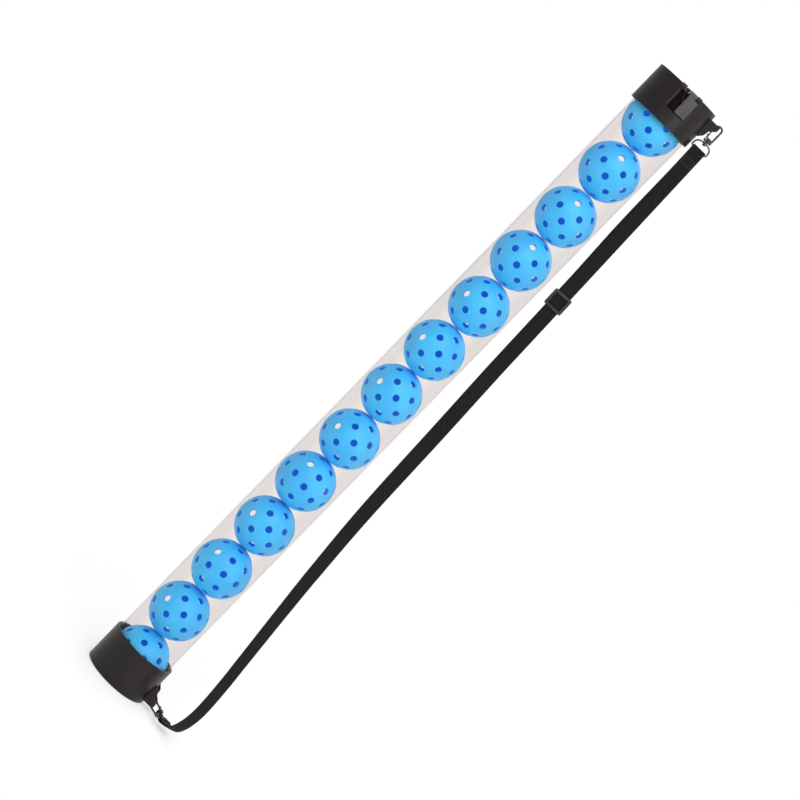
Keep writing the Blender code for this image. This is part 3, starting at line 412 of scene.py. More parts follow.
@dataclass(frozen=True)
class ClearPlastic(Finish):
    """Thin extruded clear plastic: see-through face on, greyer and glossier towards its outline."""

    edge: Colour = (0.40, 0.365, 0.37)
    face: Colour = (0.36, 0.30, 0.285)
    through: Colour = (0.962, 0.947, 0.943)
    haze: float = 0.008
    veil: float = 0.036
    rim: float = 0.50
    roughness: float = 0.07
    refraction: float = 1.49

    def shader(self, sheet: Sheet) -> Any:
        """Writes the nodes.

        Args:
            sheet: where they go.

        Returns:
            The last node.
        """
        facing = sheet.add("LayerWeight", {"Blend": 0.5}, "Facing")
        draw_lines = sheet.noise(240.0, 2.0, 0.5, (1.0, 1.0, 0.006))
        scuffs = sheet.noise(38.0, 5.0, 0.65, (1.0, 1.0, 0.5))
        share = facing.ramp(0.04, 0.34) * self.veil + facing.ramp(0.70, 1.0) * self.rim + self.haze
        tint = sheet.blend(facing.ramp(0.70, 0.98), self.face, self.edge)
        wall = sheet.principled(
            Base_Color=tint, Roughness=self.roughness + (scuffs - 0.5) * 0.05, IOR=self.refraction,
            Normal=sheet.bump(draw_lines, 0.00006, 0.4),
        )
        through = sheet.node("BsdfTransparent", {"Color": self.through})
        return sheet.mix(share + scuffs.ramp(0.52, 0.72) * 0.012, through, wall)


@dataclass(frozen=True)
class BallPlastic(Finish):
    """Satin polypropylene of a ball, with painted shade and painted light on its inner wall: a darker blue base and a
    faint blue glow.
    """

    colour: Colour = (0.055, 0.56, 1.0)
    shade: Colour = (0.040, 0.49, 0.99)
    # Painted shade and painted light on the inner wall: inside is a darker blue than the outside, and glow is a faint
    # blue emission standing in for light bounced round inside the ball.
    inside: Colour = (0.0, 0.15, 0.60)
    glow: Colour = (0.0, 0.062, 0.22)
    roughness: float = 0.44

    def shader(self, sheet: Sheet) -> Any:
        """Writes the nodes.

        Args:
            sheet: where they go.

        Returns:
            The last node.
        """
        inner = sheet.add("Attribute", out="Fac", attribute_name="inner_wall").ramp(0.1, 0.9)
        seam = sheet.add("Attribute", out="Fac", attribute_name="weld_line")
        outer = sheet.blend(sheet.noise(34.0, 3.0, 0.55).ramp(0.3, 0.7), self.shade, self.colour)
        orange_peel, scuffs = sheet.noise(900.0, 2.0), sheet.noise(260.0, 4.0, 0.7)
        # The inner wall takes the darker painted-shade blue and the faint painted glow.
        return sheet.principled(
            Base_Color=sheet.blend(inner, outer, self.inside), Roughness=self.roughness + (scuffs - 0.5) * 0.16,
            Normal=sheet.bump(orange_peel, 0.00006, 0.35, sheet.bump(seam, 0.00012, 0.6)), IOR=1.45,
            Emission_Color=sheet.blend(inner, (0.0, 0.0, 0.0), self.glow), Emission_Strength=1.0,
        )


@dataclass(frozen=True)
class Metal(Finish):
    """Plated or lacquered metal with fine polishing marks and rubbed spots."""

    colour: Colour
    rubbed: Colour
    roughness: float
    metallic: float
    lacquer: float = 0.0

    def shader(self, sheet: Sheet) -> Any:
        """Writes the nodes.

        Args:
            sheet: where they go.

        Returns:
            The last node.
        """
        patches = sheet.noise(190.0, 4.0, 0.65)
        scratches = sheet.noise(1500.0, 2.0, 0.6, (1.0, 1.0, 0.25))
        return sheet.principled(
            Base_Color=sheet.blend(patches.ramp(0.5, 0.74), self.colour, self.rubbed), Metallic=self.metallic,
            Roughness=self.roughness + (patches - 0.5) * 0.14 + (scratches - 0.5) * 0.08,
            Normal=sheet.bump(scratches, 0.00004, 0.5), Coat_Weight=self.lacquer, Coat_Roughness=0.16,
        )


@dataclass(frozen=True)
class Webbing(Finish):
    """Woven strap: crossing yarns on the piece's own map, with firmer edges and a little fuzz, its colour lighter on
    the yarn tops and darker in the valleys as painted light and shade, with real wear patches.
    """

    colour: Colour = (0.0036, 0.0030, 0.0030)
    # light is the lighter end of the weave's colour: painted light on the yarn tops, and wear.
    light: Colour = (0.0145, 0.0120, 0.0114)
    sheen: Colour = (0.75, 0.70, 0.68)
    twill: float = 0.0026
    pick: float = 0.0011
    yarn: float = 0.00034

    def shader(self, sheet: Sheet) -> Any:
        """Writes the nodes.

        Args:
            sheet: where they go.

        Returns:
            The last node.
        """
        across, along = sheet.along("weave")
        over = (across + along).wave(self.twill * sqrt(2))
        picks = (along - across).wave(self.pick * sqrt(2))
        valley = 1 - over.ramp(0.0, 0.35) * (picks * 0.35 + 0.65)
        fuzz = sheet.noise(1900.0, 3.0, 0.7)
        wear = sheet.noise(22.0, 3.0, 0.6)
        edge = (across.size() / (STRAP.width / 2)).ramp(0.86, 0.97)
        height = over * 0.55 + (1 - valley) * 0.35 + across.wave(self.yarn) * 0.10 + edge * 0.15
        # Painted light and shade: raised yarns lighter, valleys darker; the wear term is real wear of the webbing.
        lit = over.ramp(0.25, 0.9) * 0.75 + wear.ramp(0.35, 0.75) * 0.20 + (picks - 0.5) * 0.18
        tint = sheet.blend(lit + fuzz.ramp(0.45, 0.8) * 0.15 - valley * 0.20, self.colour, self.light)
        return sheet.principled(
            Base_Color=tint, Roughness=0.78 + (fuzz - 0.5) * 0.2, Specular_IOR_Level=0.17,
            Normal=sheet.bump(height, 0.00032, 0.9, sheet.bump(fuzz, 0.00008, 0.6)),
            Sheen_Weight=0.04, Sheen_Roughness=0.45, Sheen_Tint=self.sheen,
        )


@dataclass(frozen=True)
class Thread(Finish):
    """Twisted sewing thread."""

    colour: Colour = (0.030, 0.028, 0.027)
    light: Colour = (0.075, 0.070, 0.066)

    def shader(self, sheet: Sheet) -> Any:
        """Writes the nodes.

        Args:
            sheet: where they go.

        Returns:
            The last node.
        """
        fuzz = sheet.noise(2600.0, 3.0, 0.7)
        return sheet.principled(
            Base_Color=sheet.blend(fuzz.ramp(0.35, 0.7), self.colour, self.light),
            Roughness=0.6 + (fuzz - 0.5) * 0.2, Normal=sheet.bump(fuzz, 0.00006, 0.8),
        )


@dataclass(frozen=True)
class StudioFloor(Finish):
    """Pale floor that keeps the object's shadow near it and is plain white further away."""

    colour: Colour = (0.93, 0.93, 0.93)
    fleck: float = 0.985
    near: float = 0.16
    far: float = 0.75
    held_shadow: float = 0.52

    def shader(self, sheet: Sheet) -> Any:
        """Writes the nodes.

        Args:
            sheet: where they go.

        Returns:
            The last node.
        """
        seen = sheet.rays("Camera", "Glossy", "Transmission")
        flecked = tuple(channel * self.fleck for channel in self.colour)
        paint = sheet.node("BsdfDiffuse", {"Color": sheet.blend(sheet.noise(3.0, 2.0), self.colour, flecked)})
        glow = sheet.node("Emission", {"Color": WHITE, "Strength": 1.0})
        white = sheet.radius().ramp(self.near, self.far, 1.0 - self.held_shadow, 1.0)
        return sheet.mix(white * seen, paint, glow)


# ---------------------------------------------------------------- modelling bench


class Bench:
    """Modelling by Blender's own operators, as at the screen."""

    @staticmethod
    def put_down() -> None:
        """Deselects everything, in object mode."""
        if bpy.context.object and bpy.context.object.mode != "OBJECT":
            bpy.ops.object.mode_set(mode="OBJECT")
        bpy.ops.object.select_all(action="DESELECT")

    @classmethod
    def pick(cls, *pieces: Piece) -> None:
        """Selects pieces and makes the first one active.

        Args:
            pieces: what to select.
        """
        cls.put_down()
        for piece in pieces:
            piece.select_set(True)
        bpy.context.view_layer.objects.active = pieces[0]

    @classmethod
    def copy(cls, piece: Piece) -> Piece:
        """Copies a piece with its mesh.

        Args:
            piece: the piece.

        Returns:
            The copy.
        """
        cls.pick(piece)
        bpy.ops.object.duplicate(linked=False)
        return bpy.context.object

    @staticmethod
    def discard(*pieces: Piece) -> None:
        """Removes helper pieces that are used up."""
        for piece in pieces:
            bpy.data.objects.remove(piece, do_unlink=True)

    @classmethod
    def block(cls, low: Sequence[float], high: Sequence[float]) -> Piece:
        """A box between two corners.

        Args:
            low: lowest corner.
            high: highest corner.

        Returns:
            The box, at the origin.
        """
        cls.put_down()
        bpy.ops.mesh.primitive_cube_add(size=1, location=[(a + b) / 2 for a, b in zip(low, high)])
        made = bpy.context.object
        made.scale = [b - a for a, b in zip(low, high)]
        return cls.settle(made)

    @classmethod
    def rod(cls, start: Sequence[float], end: Sequence[float], radius: float, sides: int) -> Piece:
        """A round bar from one point to another.

        Args:
            start: one end.
            end: the other end.
            radius: its radius.
            sides: how many sides it has.

        Returns:
            The bar, at the origin.
        """
        cls.put_down()
        a, b = Vector(start), Vector(end)
        bpy.ops.mesh.primitive_cylinder_add(
            vertices=sides, radius=radius, depth=(b - a).length, location=(a + b) / 2,
        )
        made = bpy.context.object
        made.rotation_euler = UP.rotation_difference(b - a).to_euler()
        return cls.settle(made)

    @classmethod
    def catch_rod(cls, ends: Point, radius: float, sides: int) -> Piece:
        """A round bar on the axis of the catch's pin, between two X."""
        low, high = ((x, SIZES.pin_y, SIZES.pin_z) for x in ends)
        return cls.rod(low, high, radius, sides)

    @staticmethod
    def close(merge: float = MERGE) -> None:
        """Merges doubled vertices, turns every face outwards and leaves edit mode.

        Args:
            merge: how near two vertices are one; 0 leaves them.
        """
        if merge:
            bpy.ops.mesh.select_all(action="SELECT")
            bpy.ops.mesh.remove_doubles(threshold=merge)
        bpy.ops.mesh.select_all(action="SELECT")
        bpy.ops.mesh.normals_make_consistent(inside=False)
        bpy.ops.object.mode_set(mode="OBJECT")

    @classmethod
    def outline(cls, points: Sequence[Point], closed: bool) -> Piece:
        """A line of edges in the XZ plane, drawn by extruding one point from the next.

        Args:
            points: (x, z) of each point.
            closed: whether the last point joins the first.

        Returns:
            The line, still in edit mode.
        """
        cls.put_down()
        bpy.ops.mesh.primitive_plane_add(size=0.01)
        bpy.ops.object.mode_set(mode="EDIT")
        bpy.ops.mesh.select_all(action="SELECT")
        bpy.ops.mesh.merge(type="CENTER")
        line = [Vector((x, 0.0, z)) for x, z in points]
        if closed:
            line.append(line[0])
        bpy.ops.transform.translate(value=line[0])
        for here, there in zip(line, line[1:]):
            bpy.ops.mesh.extrude_region_move(TRANSFORM_OT_translate={"value": there - here})
        bpy.ops.mesh.select_all(action="SELECT")
        if closed:
            bpy.ops.mesh.remove_doubles(threshold=MERGE / 2)
            bpy.ops.mesh.select_all(action="SELECT")
        return bpy.context.object

    @classmethod
    def lathe(cls, profile: Sequence[Point], steps: int = 192, closed: bool = True) -> Piece:
        """Spins a profile round +Z.

        Args:
            profile: (radius, height) of each point, down its outer side.
            steps: how many steps round.
            closed: whether the section is a closed ring.

        Returns:
            The turned piece, its faces outwards.
        """
        made = cls.outline(profile, closed)
        bpy.ops.mesh.spin(steps=steps, angle=2 * pi, center=(0, 0, 0), axis=(0, 0, 1))
        cls.close()
        return made

    @classmethod
    def plate(cls, points: Sequence[Point], low: float, high: float) -> Piece:
        """A flat outline in XZ, filled and extruded along Y.

        Args:
            points: (x, z) round the outline.
            low: lower Y.
            high: upper Y.

        Returns:
            The plate.
        """
        made = cls.outline(points, closed=True)
        bpy.ops.mesh.edge_face_add()
        bpy.ops.transform.translate(value=(0, low, 0))
        bpy.ops.mesh.extrude_region_move(TRANSFORM_OT_translate={"value": (0, high - low, 0)})
        cls.close(0.0)
        return made

    @classmethod
    def wire(cls, points: Iterable[Sequence[float]], radius: float, sides: int, closed: bool = False) -> Piece:
        """Round wire along points, with closed ends.

        Args:
            points: its centreline.
            radius: its radius.
            sides: the bevel's resolution.
            closed: whether it joins up.

        Returns:
            The wire as a mesh.
        """
        cls.put_down()
        bpy.ops.curve.primitive_bezier_curve_add()
        curve = bpy.context.object.data
        curve.splines.clear()
        line = [Vector(point) for point in points]
        spline = curve.splines.new("POLY")
        spline.points.add(len(line) - 1)
        for target, point in zip(spline.points, line):
            target.co = (*point, 1.0)
        spline.use_cyclic_u = closed
        curve.dimensions = "3D"
        curve.twist_mode = "MINIMUM"
        curve.bevel_depth = radius
        curve.bevel_resolution = sides
        curve.use_fill_caps = True
        bpy.ops.object.convert(target="MESH")
        return cls.weld(bpy.context.object)

    @classmethod
    def weld(cls, piece: Piece, merge: float = MERGE) -> Piece:
        """Merges doubled vertices and turns every face outwards.

        Args:
            piece: the piece.
            merge: how near two vertices are one.

        Returns:
            The piece.
        """
        cls.pick(piece)
        bpy.ops.object.mode_set(mode="EDIT")
        cls.close(merge)
        return piece

    @classmethod
    def open_edges(cls, piece: Piece) -> None:
        """Opens a piece for work on its edges, with nothing selected.

        Args:
            piece: the piece.
        """
        cls.pick(piece)
        bpy.ops.object.mode_set(mode="EDIT")
        bpy.ops.mesh.select_mode(type="EDGE")
        bpy.ops.mesh.select_all(action="DESELECT")

    @classmethod
    def settle(cls, piece: Piece, place: Matrix | None = None) -> Piece:
        """Puts a piece in its place in the mesh, its object back at the origin.

        Args:
            piece: the piece.
            place: where it goes; where it stands unless given.

        Returns:
            The piece.
        """
        cls.pick(piece)
        if place is not None:
            piece.matrix_world = place @ piece.matrix_world
        bpy.ops.object.transform_apply(location=True, rotation=True, scale=True)
        return piece

    @classmethod
    def apply(cls, piece: Piece, kind: str, **settings: Any) -> Piece:
        """Gives a piece a modifier and applies it.

        Args:
            piece: the piece.
            kind: the modifier's type.
            settings: its settings.

        Returns:
            The piece.
        """
        cls.pick(piece)
        modifier = piece.modifiers.new(kind.title(), kind)
        for name, setting in settings.items():
            setattr(modifier, name, setting)
        bpy.ops.object.modifier_apply(modifier=modifier.name)
        return piece

    @classmethod
    def work(cls, piece: Piece, how: Cut, *tools: Piece) -> Piece:
        """Joins, cuts or trims a piece with helpers, which are used up.

        Args:
            piece: the piece.
            how: what they do.
            tools: the helpers, in turn.

        Returns:
            The piece.
        """
        for tool in tools:
            cls.apply(piece, "BOOLEAN", operation=how.value, object=tool, solver="EXACT")
            cls.discard(tool)
        return piece

    @classmethod
    def soften(cls, piece: Piece, width: float, segments: int = 2, angle: float = 35.0) -> Piece:
        """Rounds the edges that turn by more than an angle."""
        settings = {"width": width, "segments": segments, "angle_limit": radians(angle)}
        return cls.apply(piece, "BEVEL", limit_method="ANGLE", **settings)

    @classmethod
    def join(cls, piece: Piece, *others: Piece) -> Piece:
        """Makes several pieces one object.

        Args:
            piece: the one that the others join.
            others: the others.

        Returns:
            The joined piece.
        """
        cls.pick(piece, *others)
        bpy.ops.object.join()
        return piece

    @classmethod
    def shade(cls, piece: Piece, angle: float = 32.0, flats: bool = True) -> Piece:
        """Shades round surfaces smooth and keeps real edges.

        Args:
            piece: the piece.
            angle: edges sharper than this stay sharp.
            flats: whether a flat keeps its own shading up to a rounded edge beside it.

        Returns:
            The piece.
        """
        cls.pick(piece)
        bpy.ops.object.shade_smooth_by_angle(angle=radians(angle))
        return cls.apply(piece, "WEIGHTED_NORMAL", keep_sharp=True) if flats else piece

    @staticmethod
    def arc(centre: Point, radius: float, start: float, end: float, steps: int) -> list[Point]:
        """Points on an arc, from its start to its end angle, both ends included."""
        angles = [radians(start + (end - start) * i / steps) for i in range(steps + 1)]
        return [(centre[0] + radius * cos(a), centre[1] + radius * sin(a)) for a in angles]


@dataclass
class Assembly:
    """A group of pieces that ride on bodies."""

    finishes: dict[Slot, Material]

    def dress(self, piece: Piece, name: str, body: str, slot: Slot, material: Material | None = None) -> None:
        """Names a piece, gives it its finish and lets it ride.

        Args:
            piece: the finished piece.
            name: its name.
            body: the body that it rides on.
            slot: its material slot.
            material: its material, the slot's own unless given.
        """
        piece.name = piece.data.name = name
        piece.data.materials.clear()
        piece.data.materials.append(material or self.finishes[slot])
        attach(piece, body)
        LOG.info("%s: %d faces on %s", name, len(piece.data.polygons), body)

    def hand_over(self, piece: Piece, node: str, body: str, slot: Slot, material: Material | None = None) -> None:
        """Dresses a piece and puts it in the place of its CAD node.

        Args:
            piece: the finished piece.
            node: the node that it replaces.
            body: the body that it rides on.
            slot: its material slot.
            material: its material, the slot's own unless given.
        """
        piece.name = f"dressed_{node}"
        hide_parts(node)
        self.dress(piece, piece.name, body, slot, material)


# ---------------------------------------------------------------- tube and caps


@dataclass
class ClearTube(Assembly):
    """The extruded clear tube."""

    low: float = 0.0033
    high: float = 0.9534
    edge: float = 0.00025
    parts: int = 16

    def build(self) -> None:
        """Turns the tube, its cut ends eased, with rings along it that keep its shading even."""
        outer, inner, e = SIZES.tube, SIZES.bore, self.edge
        rings = [self.low + (self.high - self.low) * i / self.parts for i in range(1, self.parts)]
        profile = [(outer - e, self.high), (outer, self.high - e)]
        profile += [(outer, z) for z in reversed(rings)]
        profile += [(outer, self.low + e), (outer - e, self.low), (inner + e, self.low), (inner, self.low + e)]
        profile += [(inner, z) for z in rings]
        profile += [(inner, self.high - e), (inner + e, self.high)]
        self.hand_over(Bench.shade(Bench.lathe(profile)), "clear_tube", "tube", Slot.CLEAR)


@dataclass
class StrapLug:
    """A moulded strap lug: two side plates and a bar across their ends, measured from the bar's end."""

    bar_end: float
    sign: int
    half_width: float = 0.011
    plate: float = 0.002
    plate_edge: float = 0.00045
    root: float = 0.04245
    face: float = 0.0582
    bar_inside: float = 0.0553
    bar_edge: float = 0.00035
    taper: float = 0.0058
    shoulder: Point = (0.05125, 0.0116)
    toe: Point = (0.04965, 0.0195)
    length: float = 0.0253
    bar_height: float = 0.005
    chamfer: float = 0.0026
    flat: float = 0.0004

    def section(self, *points: Point) -> list[Point]:
        """Points at their distance from the bar's end, up or down."""
        return [(x, self.bar_end + self.sign * z) for x, z in points]

    def build(self) -> Piece:
        """Makes the lug.

        Returns:
            The lug as one object.
        """
        side = self.section(
            (self.root, 0.0), (self.face, 0.0), (self.face, self.taper), self.shoulder, self.toe,
            (SIZES.cap, self.length), (self.root, self.length),
        )
        bar = self.section(
            (self.face - self.flat, 0.0), (self.face, 0.0), (self.face, self.bar_height),
            (self.bar_inside, self.bar_height), (self.bar_inside, self.chamfer),
        )
        lows = (-self.half_width, self.half_width - self.plate)
        plates = [Bench.soften(Bench.plate(side, y, y + self.plate), self.plate_edge, 3) for y in lows]
        inner = self.half_width - self.plate / 2
        return Bench.join(Bench.soften(Bench.plate(bar, -inner, inner), self.bar_edge, 3, 30), *plates)


@dataclass
class ClosedCap(Assembly):
    """The cup that the tube stands in."""

    edge: float = 0.0025
    rim: float = 0.0006
    corner: float = 0.0008
    rings: Point = (0.02, 0.036)
    foot_ring: tuple[Point, ...] = ((0.0375, 0.0), (0.0371, 0.0004), (0.0361, 0.0004), (0.0357, 0.0))
    gate_mark: tuple[Point, ...] = ((0.0032, 0.0), (0.0028, 0.0005), (0.0, 0.0005))
    lug: float = 0.0065

    def build(self) -> None:
        """Turns the cup with its rounded foot and eased rim, and adds the lug."""
        top, cap, socket, floor = SIZES.bottom_cap - self.rim, SIZES.cap, SIZES.socket, SIZES.floor
        profile = [(0.0, floor), (socket - self.corner, floor), (socket, floor + self.corner)]
        profile += [(socket, z) for z in self.rings]
        profile += Bench.arc((socket + self.rim, top), self.rim, 180, 90, 4)
        profile += Bench.arc((cap - self.rim, top), self.rim, 90, 0, 4)
        profile += [(cap, z) for z in reversed(self.rings)]
        profile += Bench.arc((cap - self.edge, self.edge), self.edge, 0, -90, 8)
        cup = Bench.lathe([*profile, *self.foot_ring, *self.gate_mark], closed=False)
        Bench.shade(Bench.join(cup, StrapLug(bar_end=self.lug, sign=1).build()))
        self.hand_over(cup, "bottom_cap", "tube", Slot.CAPS)


@dataclass
class MouthCollar(Assembly):
    """The open collar with its latch pocket, ears and lug."""

    rim: float = 0.0006
    foot_edge: float = 0.0005
    rings: Point = (0.970, 0.955)
    mouth: tuple[Point, ...] = ((0.0, 0.0022), (0.0007, 0.0009), (0.0022, 0.0))
    pocket: Point = (-0.0062, 0.0201)
    pocket_heights: Point = (0.9577, 0.9851)
    pocket_floor: float = 0.0409
    scoop: Place = (-0.0060, -0.0478, 0.0050)
    scoop_end: float = 0.0016
    scoop_edge: float = 0.0014
    notch: Point = (-0.0034, 0.0135)
    notch_foot: float = 0.9836
    sill: Point = (0.0046, 0.9859)
    sill_face: float = -0.0408
    ears: tuple[Point, Point] = ((-0.0110, -0.0034), (0.0135, 0.0206))
    ear_radius: float = 0.0032
    slot: Point = (0.0077, 0.0173)
    slot_heights: Point = (0.9593, 0.9730)
    slot_face: float = -0.0459
    bore_ends: Point = (-0.0115, 0.0211)
    lug: float = 0.9841
    inside: float = -0.034
    outside: float = -0.06
    spare: float = 0.005
    lap: float = 0.001
    edge: float = 0.00028

    def build(self) -> None:
        """Turns the collar, cuts pocket, notch, nose slot and pin bore, and adds ears and lug."""
        collar = self.turn()
        Bench.work(collar, Cut.DIFFERENCE, self.pocket_tool(), self.scoop_tool())
        Bench.work(collar, Cut.UNION, *[Bench.catch_rod(ends, self.ear_radius, 40) for ends in self.ears])
        slot = Bench.block(
            (self.slot[0], self.slot_face, self.slot_heights[0]), (self.slot[1], self.inside, self.slot_heights[1]),
        )
        bore = Bench.catch_rod(self.bore_ends, SIZES.pin_bore, 24)
        Bench.work(collar, Cut.DIFFERENCE, *self.notch_tools(), slot, bore)
        Bench.soften(Bench.weld(collar, BOOLEAN_MERGE), self.edge, 2, 42)
        Bench.shade(Bench.join(collar, StrapLug(bar_end=self.lug, sign=-1).build()))
        self.hand_over(collar, "top_cap", "tube", Slot.CAPS)

    def turn(self) -> Piece:
        """Turns the plain ring, with rings of points that keep its shading even.

        Returns:
            The ring.
        """
        top, foot, cap, socket, bore = SIZES.overall, SIZES.collar_foot, SIZES.cap, SIZES.socket, SIZES.bore
        rim, e = self.rim, self.foot_edge
        profile = Bench.arc((cap - rim, top - rim), rim, 90, 0, 4) + [(cap, z) for z in self.rings]
        profile += Bench.arc((cap - e, foot + e), e, 0, -90, 3)
        profile += [(socket + e, foot), (socket, foot + e), (socket, SIZES.shoulder), (bore, SIZES.shoulder)]
        return Bench.lathe(profile + [(bore, self.rings[0])] + [(bore + x, top - z) for x, z in self.mouth])

    def pocket_tool(self) -> Piece:
        """What cuts the round-backed pocket.

        Returns:
            The helper.
        """
        low, high = self.pocket_heights
        outer = SIZES.cap + self.spare
        ring = Bench.lathe([(outer, high), (outer, low), (self.pocket_floor, low), (self.pocket_floor, high)])
        corners = ((self.pocket[0], self.outside, low - self.spare), (self.pocket[1], 0.0, high + self.spare))
        return Bench.work(ring, Cut.INTERSECT, Bench.block(*corners))

    def scoop_tool(self) -> Piece:
        """What cuts the soft scoop left of the pocket.

        Returns:
            The helper.
        """
        x, y, radius = self.scoop
        low, high = self.pocket_heights
        scoop = Bench.rod((x, y, low + self.scoop_end), (x, y, high - self.scoop_end), radius, 56)
        return Bench.soften(scoop, self.scoop_edge, 4, 60)

    def notch_tools(self) -> list[Piece]:
        """What cuts the notch for the spring, down to the sill on its left.

        Returns:
            The helpers.
        """
        (left, right), (sill, sill_top) = self.notch, self.sill
        top, back = SIZES.overall + self.spare, self.sill_face - self.lap
        return [Bench.block(low, high) for low, high in (
            ((left, self.outside, self.notch_foot), (right, self.sill_face, top)),
            ((left, back, sill_top), (sill + self.lap, self.inside, top)),
            ((sill, back, self.notch_foot), (right, self.inside, top)),
        )]


# ---------------------------------------------------------------- catch


@dataclass
class SprungCatch(Assembly):
    """The lever that holds the balls in, its pin and its spring."""

    blade: Point = (0.0412, 0.0450)
    sides: Point = (0.0050, 0.0198)
    foot: float = 0.9586
    top: float = 0.9847
    foot_trim: float = 0.0005
    top_trim: float = 0.0004
    outside: float = -0.06
    barrel: float = 0.0026
    barrel_sides: Point = (0.0030, 0.0132)
    bore_ends: Point = (0.001, 0.015)
    nose: Point = (0.0080, 0.0170)
    tip: float = 0.034
    tip_height: float = 0.002
    shelf: float = 0.9596
    ramp: float = 0.9721
    edge: float = 0.00032
    pin_radius: float = 0.0009
    pin_ends: Point = (-0.0113, 0.0209)
    pin_rings: Point = (0.012, -0.002)
    dome: tuple[Point, Point, Point] = ((1.0, 1.0), (0.88, 0.6), (0.55, 0.25))
    dome_height: float = 0.00028
    coil: float = 0.00185
    coil_ends: Point = (0.00235, -0.00275)
    wire: float = 0.00035
    turns: int = 7
    turn_steps: int = 22
    leg_x: float = 0.0062
    leg_drop: float = 0.018
    leg_bend: Place = (0.0, -0.0007, -0.0026)
    leg_bow: float = 0.00025

    def build(self) -> None:
        """Makes lever, pin and spring."""
        dark_steel = Metal("oiled_steel", (0.035, 0.035, 0.037), (0.10, 0.10, 0.10), 0.38, 1.0).make()
        self.build_lever()
        self.build_pin(dark_steel)
        self.build_spring(dark_steel)

    def build_lever(self) -> None:
        """Blade with its neck, barrel and nose in one moulding, its edges softened."""
        (inner, outer), (left, right), neck = self.blade, self.sides, self.barrel_sides[1]
        z, cut_foot, cut_top = SIZES.pin_z, self.foot + self.foot_trim, SIZES.pin_z - self.top_trim
        lever = Bench.lathe([(outer, z), (outer, self.foot), (inner, self.foot), (inner, z)])
        shape = Bench.plate([
            (left, cut_top), (left, cut_foot), (right, cut_foot), (right, self.top), (neck, self.top), (neck, cut_top),
        ], self.outside, 0.0)
        root = -(inner + outer) / 2
        nose = Bench.plate([
            (root, self.shelf), (root, self.ramp), (-inner + SIZES.gap, self.ramp),
            (-self.tip, self.shelf + self.tip_height), (-self.tip, self.shelf),
        ], -self.nose[1], -self.nose[0])
        Bench.settle(nose, turned(90, "Z"))
        Bench.work(lever, Cut.INTERSECT, shape)
        Bench.work(lever, Cut.UNION, Bench.catch_rod(self.barrel_sides, self.barrel, 40), nose)
        Bench.work(lever, Cut.DIFFERENCE, Bench.catch_rod(self.bore_ends, SIZES.pin_bore, 24))
        Bench.shade(Bench.soften(Bench.weld(lever, BOOLEAN_MERGE), self.edge, 3, 40))
        # The lever's plastic is a lighter copy of the cap's black plastic: a painted highlight standing in for the
        # light band the lever catches.
        finish = MouldedPlastic("lever_plastic", (0.040, 0.037, 0.036), (0.056, 0.053, 0.051), 0.42)
        self.hand_over(lever, "catch_lever", "catch", Slot.CAPS, finish.make())

    def build_pin(self, steel: Material) -> None:
        """A turned pin with domed ends.

        Args:
            steel: its material.
        """
        low, high = self.pin_ends
        dome = [(self.pin_radius * wide, self.dome_height * deep) for wide, deep in self.dome]
        profile = [(0.0, high)] + [(x, high - z) for x, z in reversed(dome)]
        profile += [(self.pin_radius, z) for z in self.pin_rings]
        profile += [(x, low + z) for x, z in dome] + [(0.0, low)]
        pin = Bench.lathe(profile, 32, closed=False)
        Bench.settle(pin, Matrix.Translation((0.0, SIZES.pin_y, SIZES.pin_z)) @ turned(90, "Y"))
        self.hand_over(Bench.shade(pin, 50), "catch_pin", "tube", Slot.STEEL, steel)

    def build_spring(self, steel: Material) -> None:
        """Close turns round the pin, then a leg down across the pocket to the blade.

        Args:
            steel: its material.
        """
        start, end = self.coil_ends
        steps = self.turn_steps * self.turns
        points = []
        for i in range(steps + 1):
            share = i / steps
            angle = 2 * pi * self.turns * share
            y, z = SIZES.pin_y - self.coil * cos(angle), SIZES.pin_z + self.coil * sin(angle)
            points.append(Vector((start + (end - start) * share, y, z)))
        last = points[-1]
        bend = last + Vector(self.leg_bend)
        reach = sqrt((self.blade[1] + SIZES.gap + self.wire) ** 2 - self.leg_x**2)
        leg = Vector((self.leg_x, -reach, last.z - self.leg_drop))
        points += [last.lerp(bend, i / 5) - Vector((0.0, self.leg_bow * sin(pi * i / 5), 0.0)) for i in range(1, 5)]
        points += [bend.lerp(leg, i / 8) for i in range(9)]
        spring = Bench.shade(Bench.wire(points, self.wire, 4), 60)
        self.hand_over(spring, "catch_spring", "catch", Slot.STEEL, steel)


# ---------------------------------------------------------------- balls


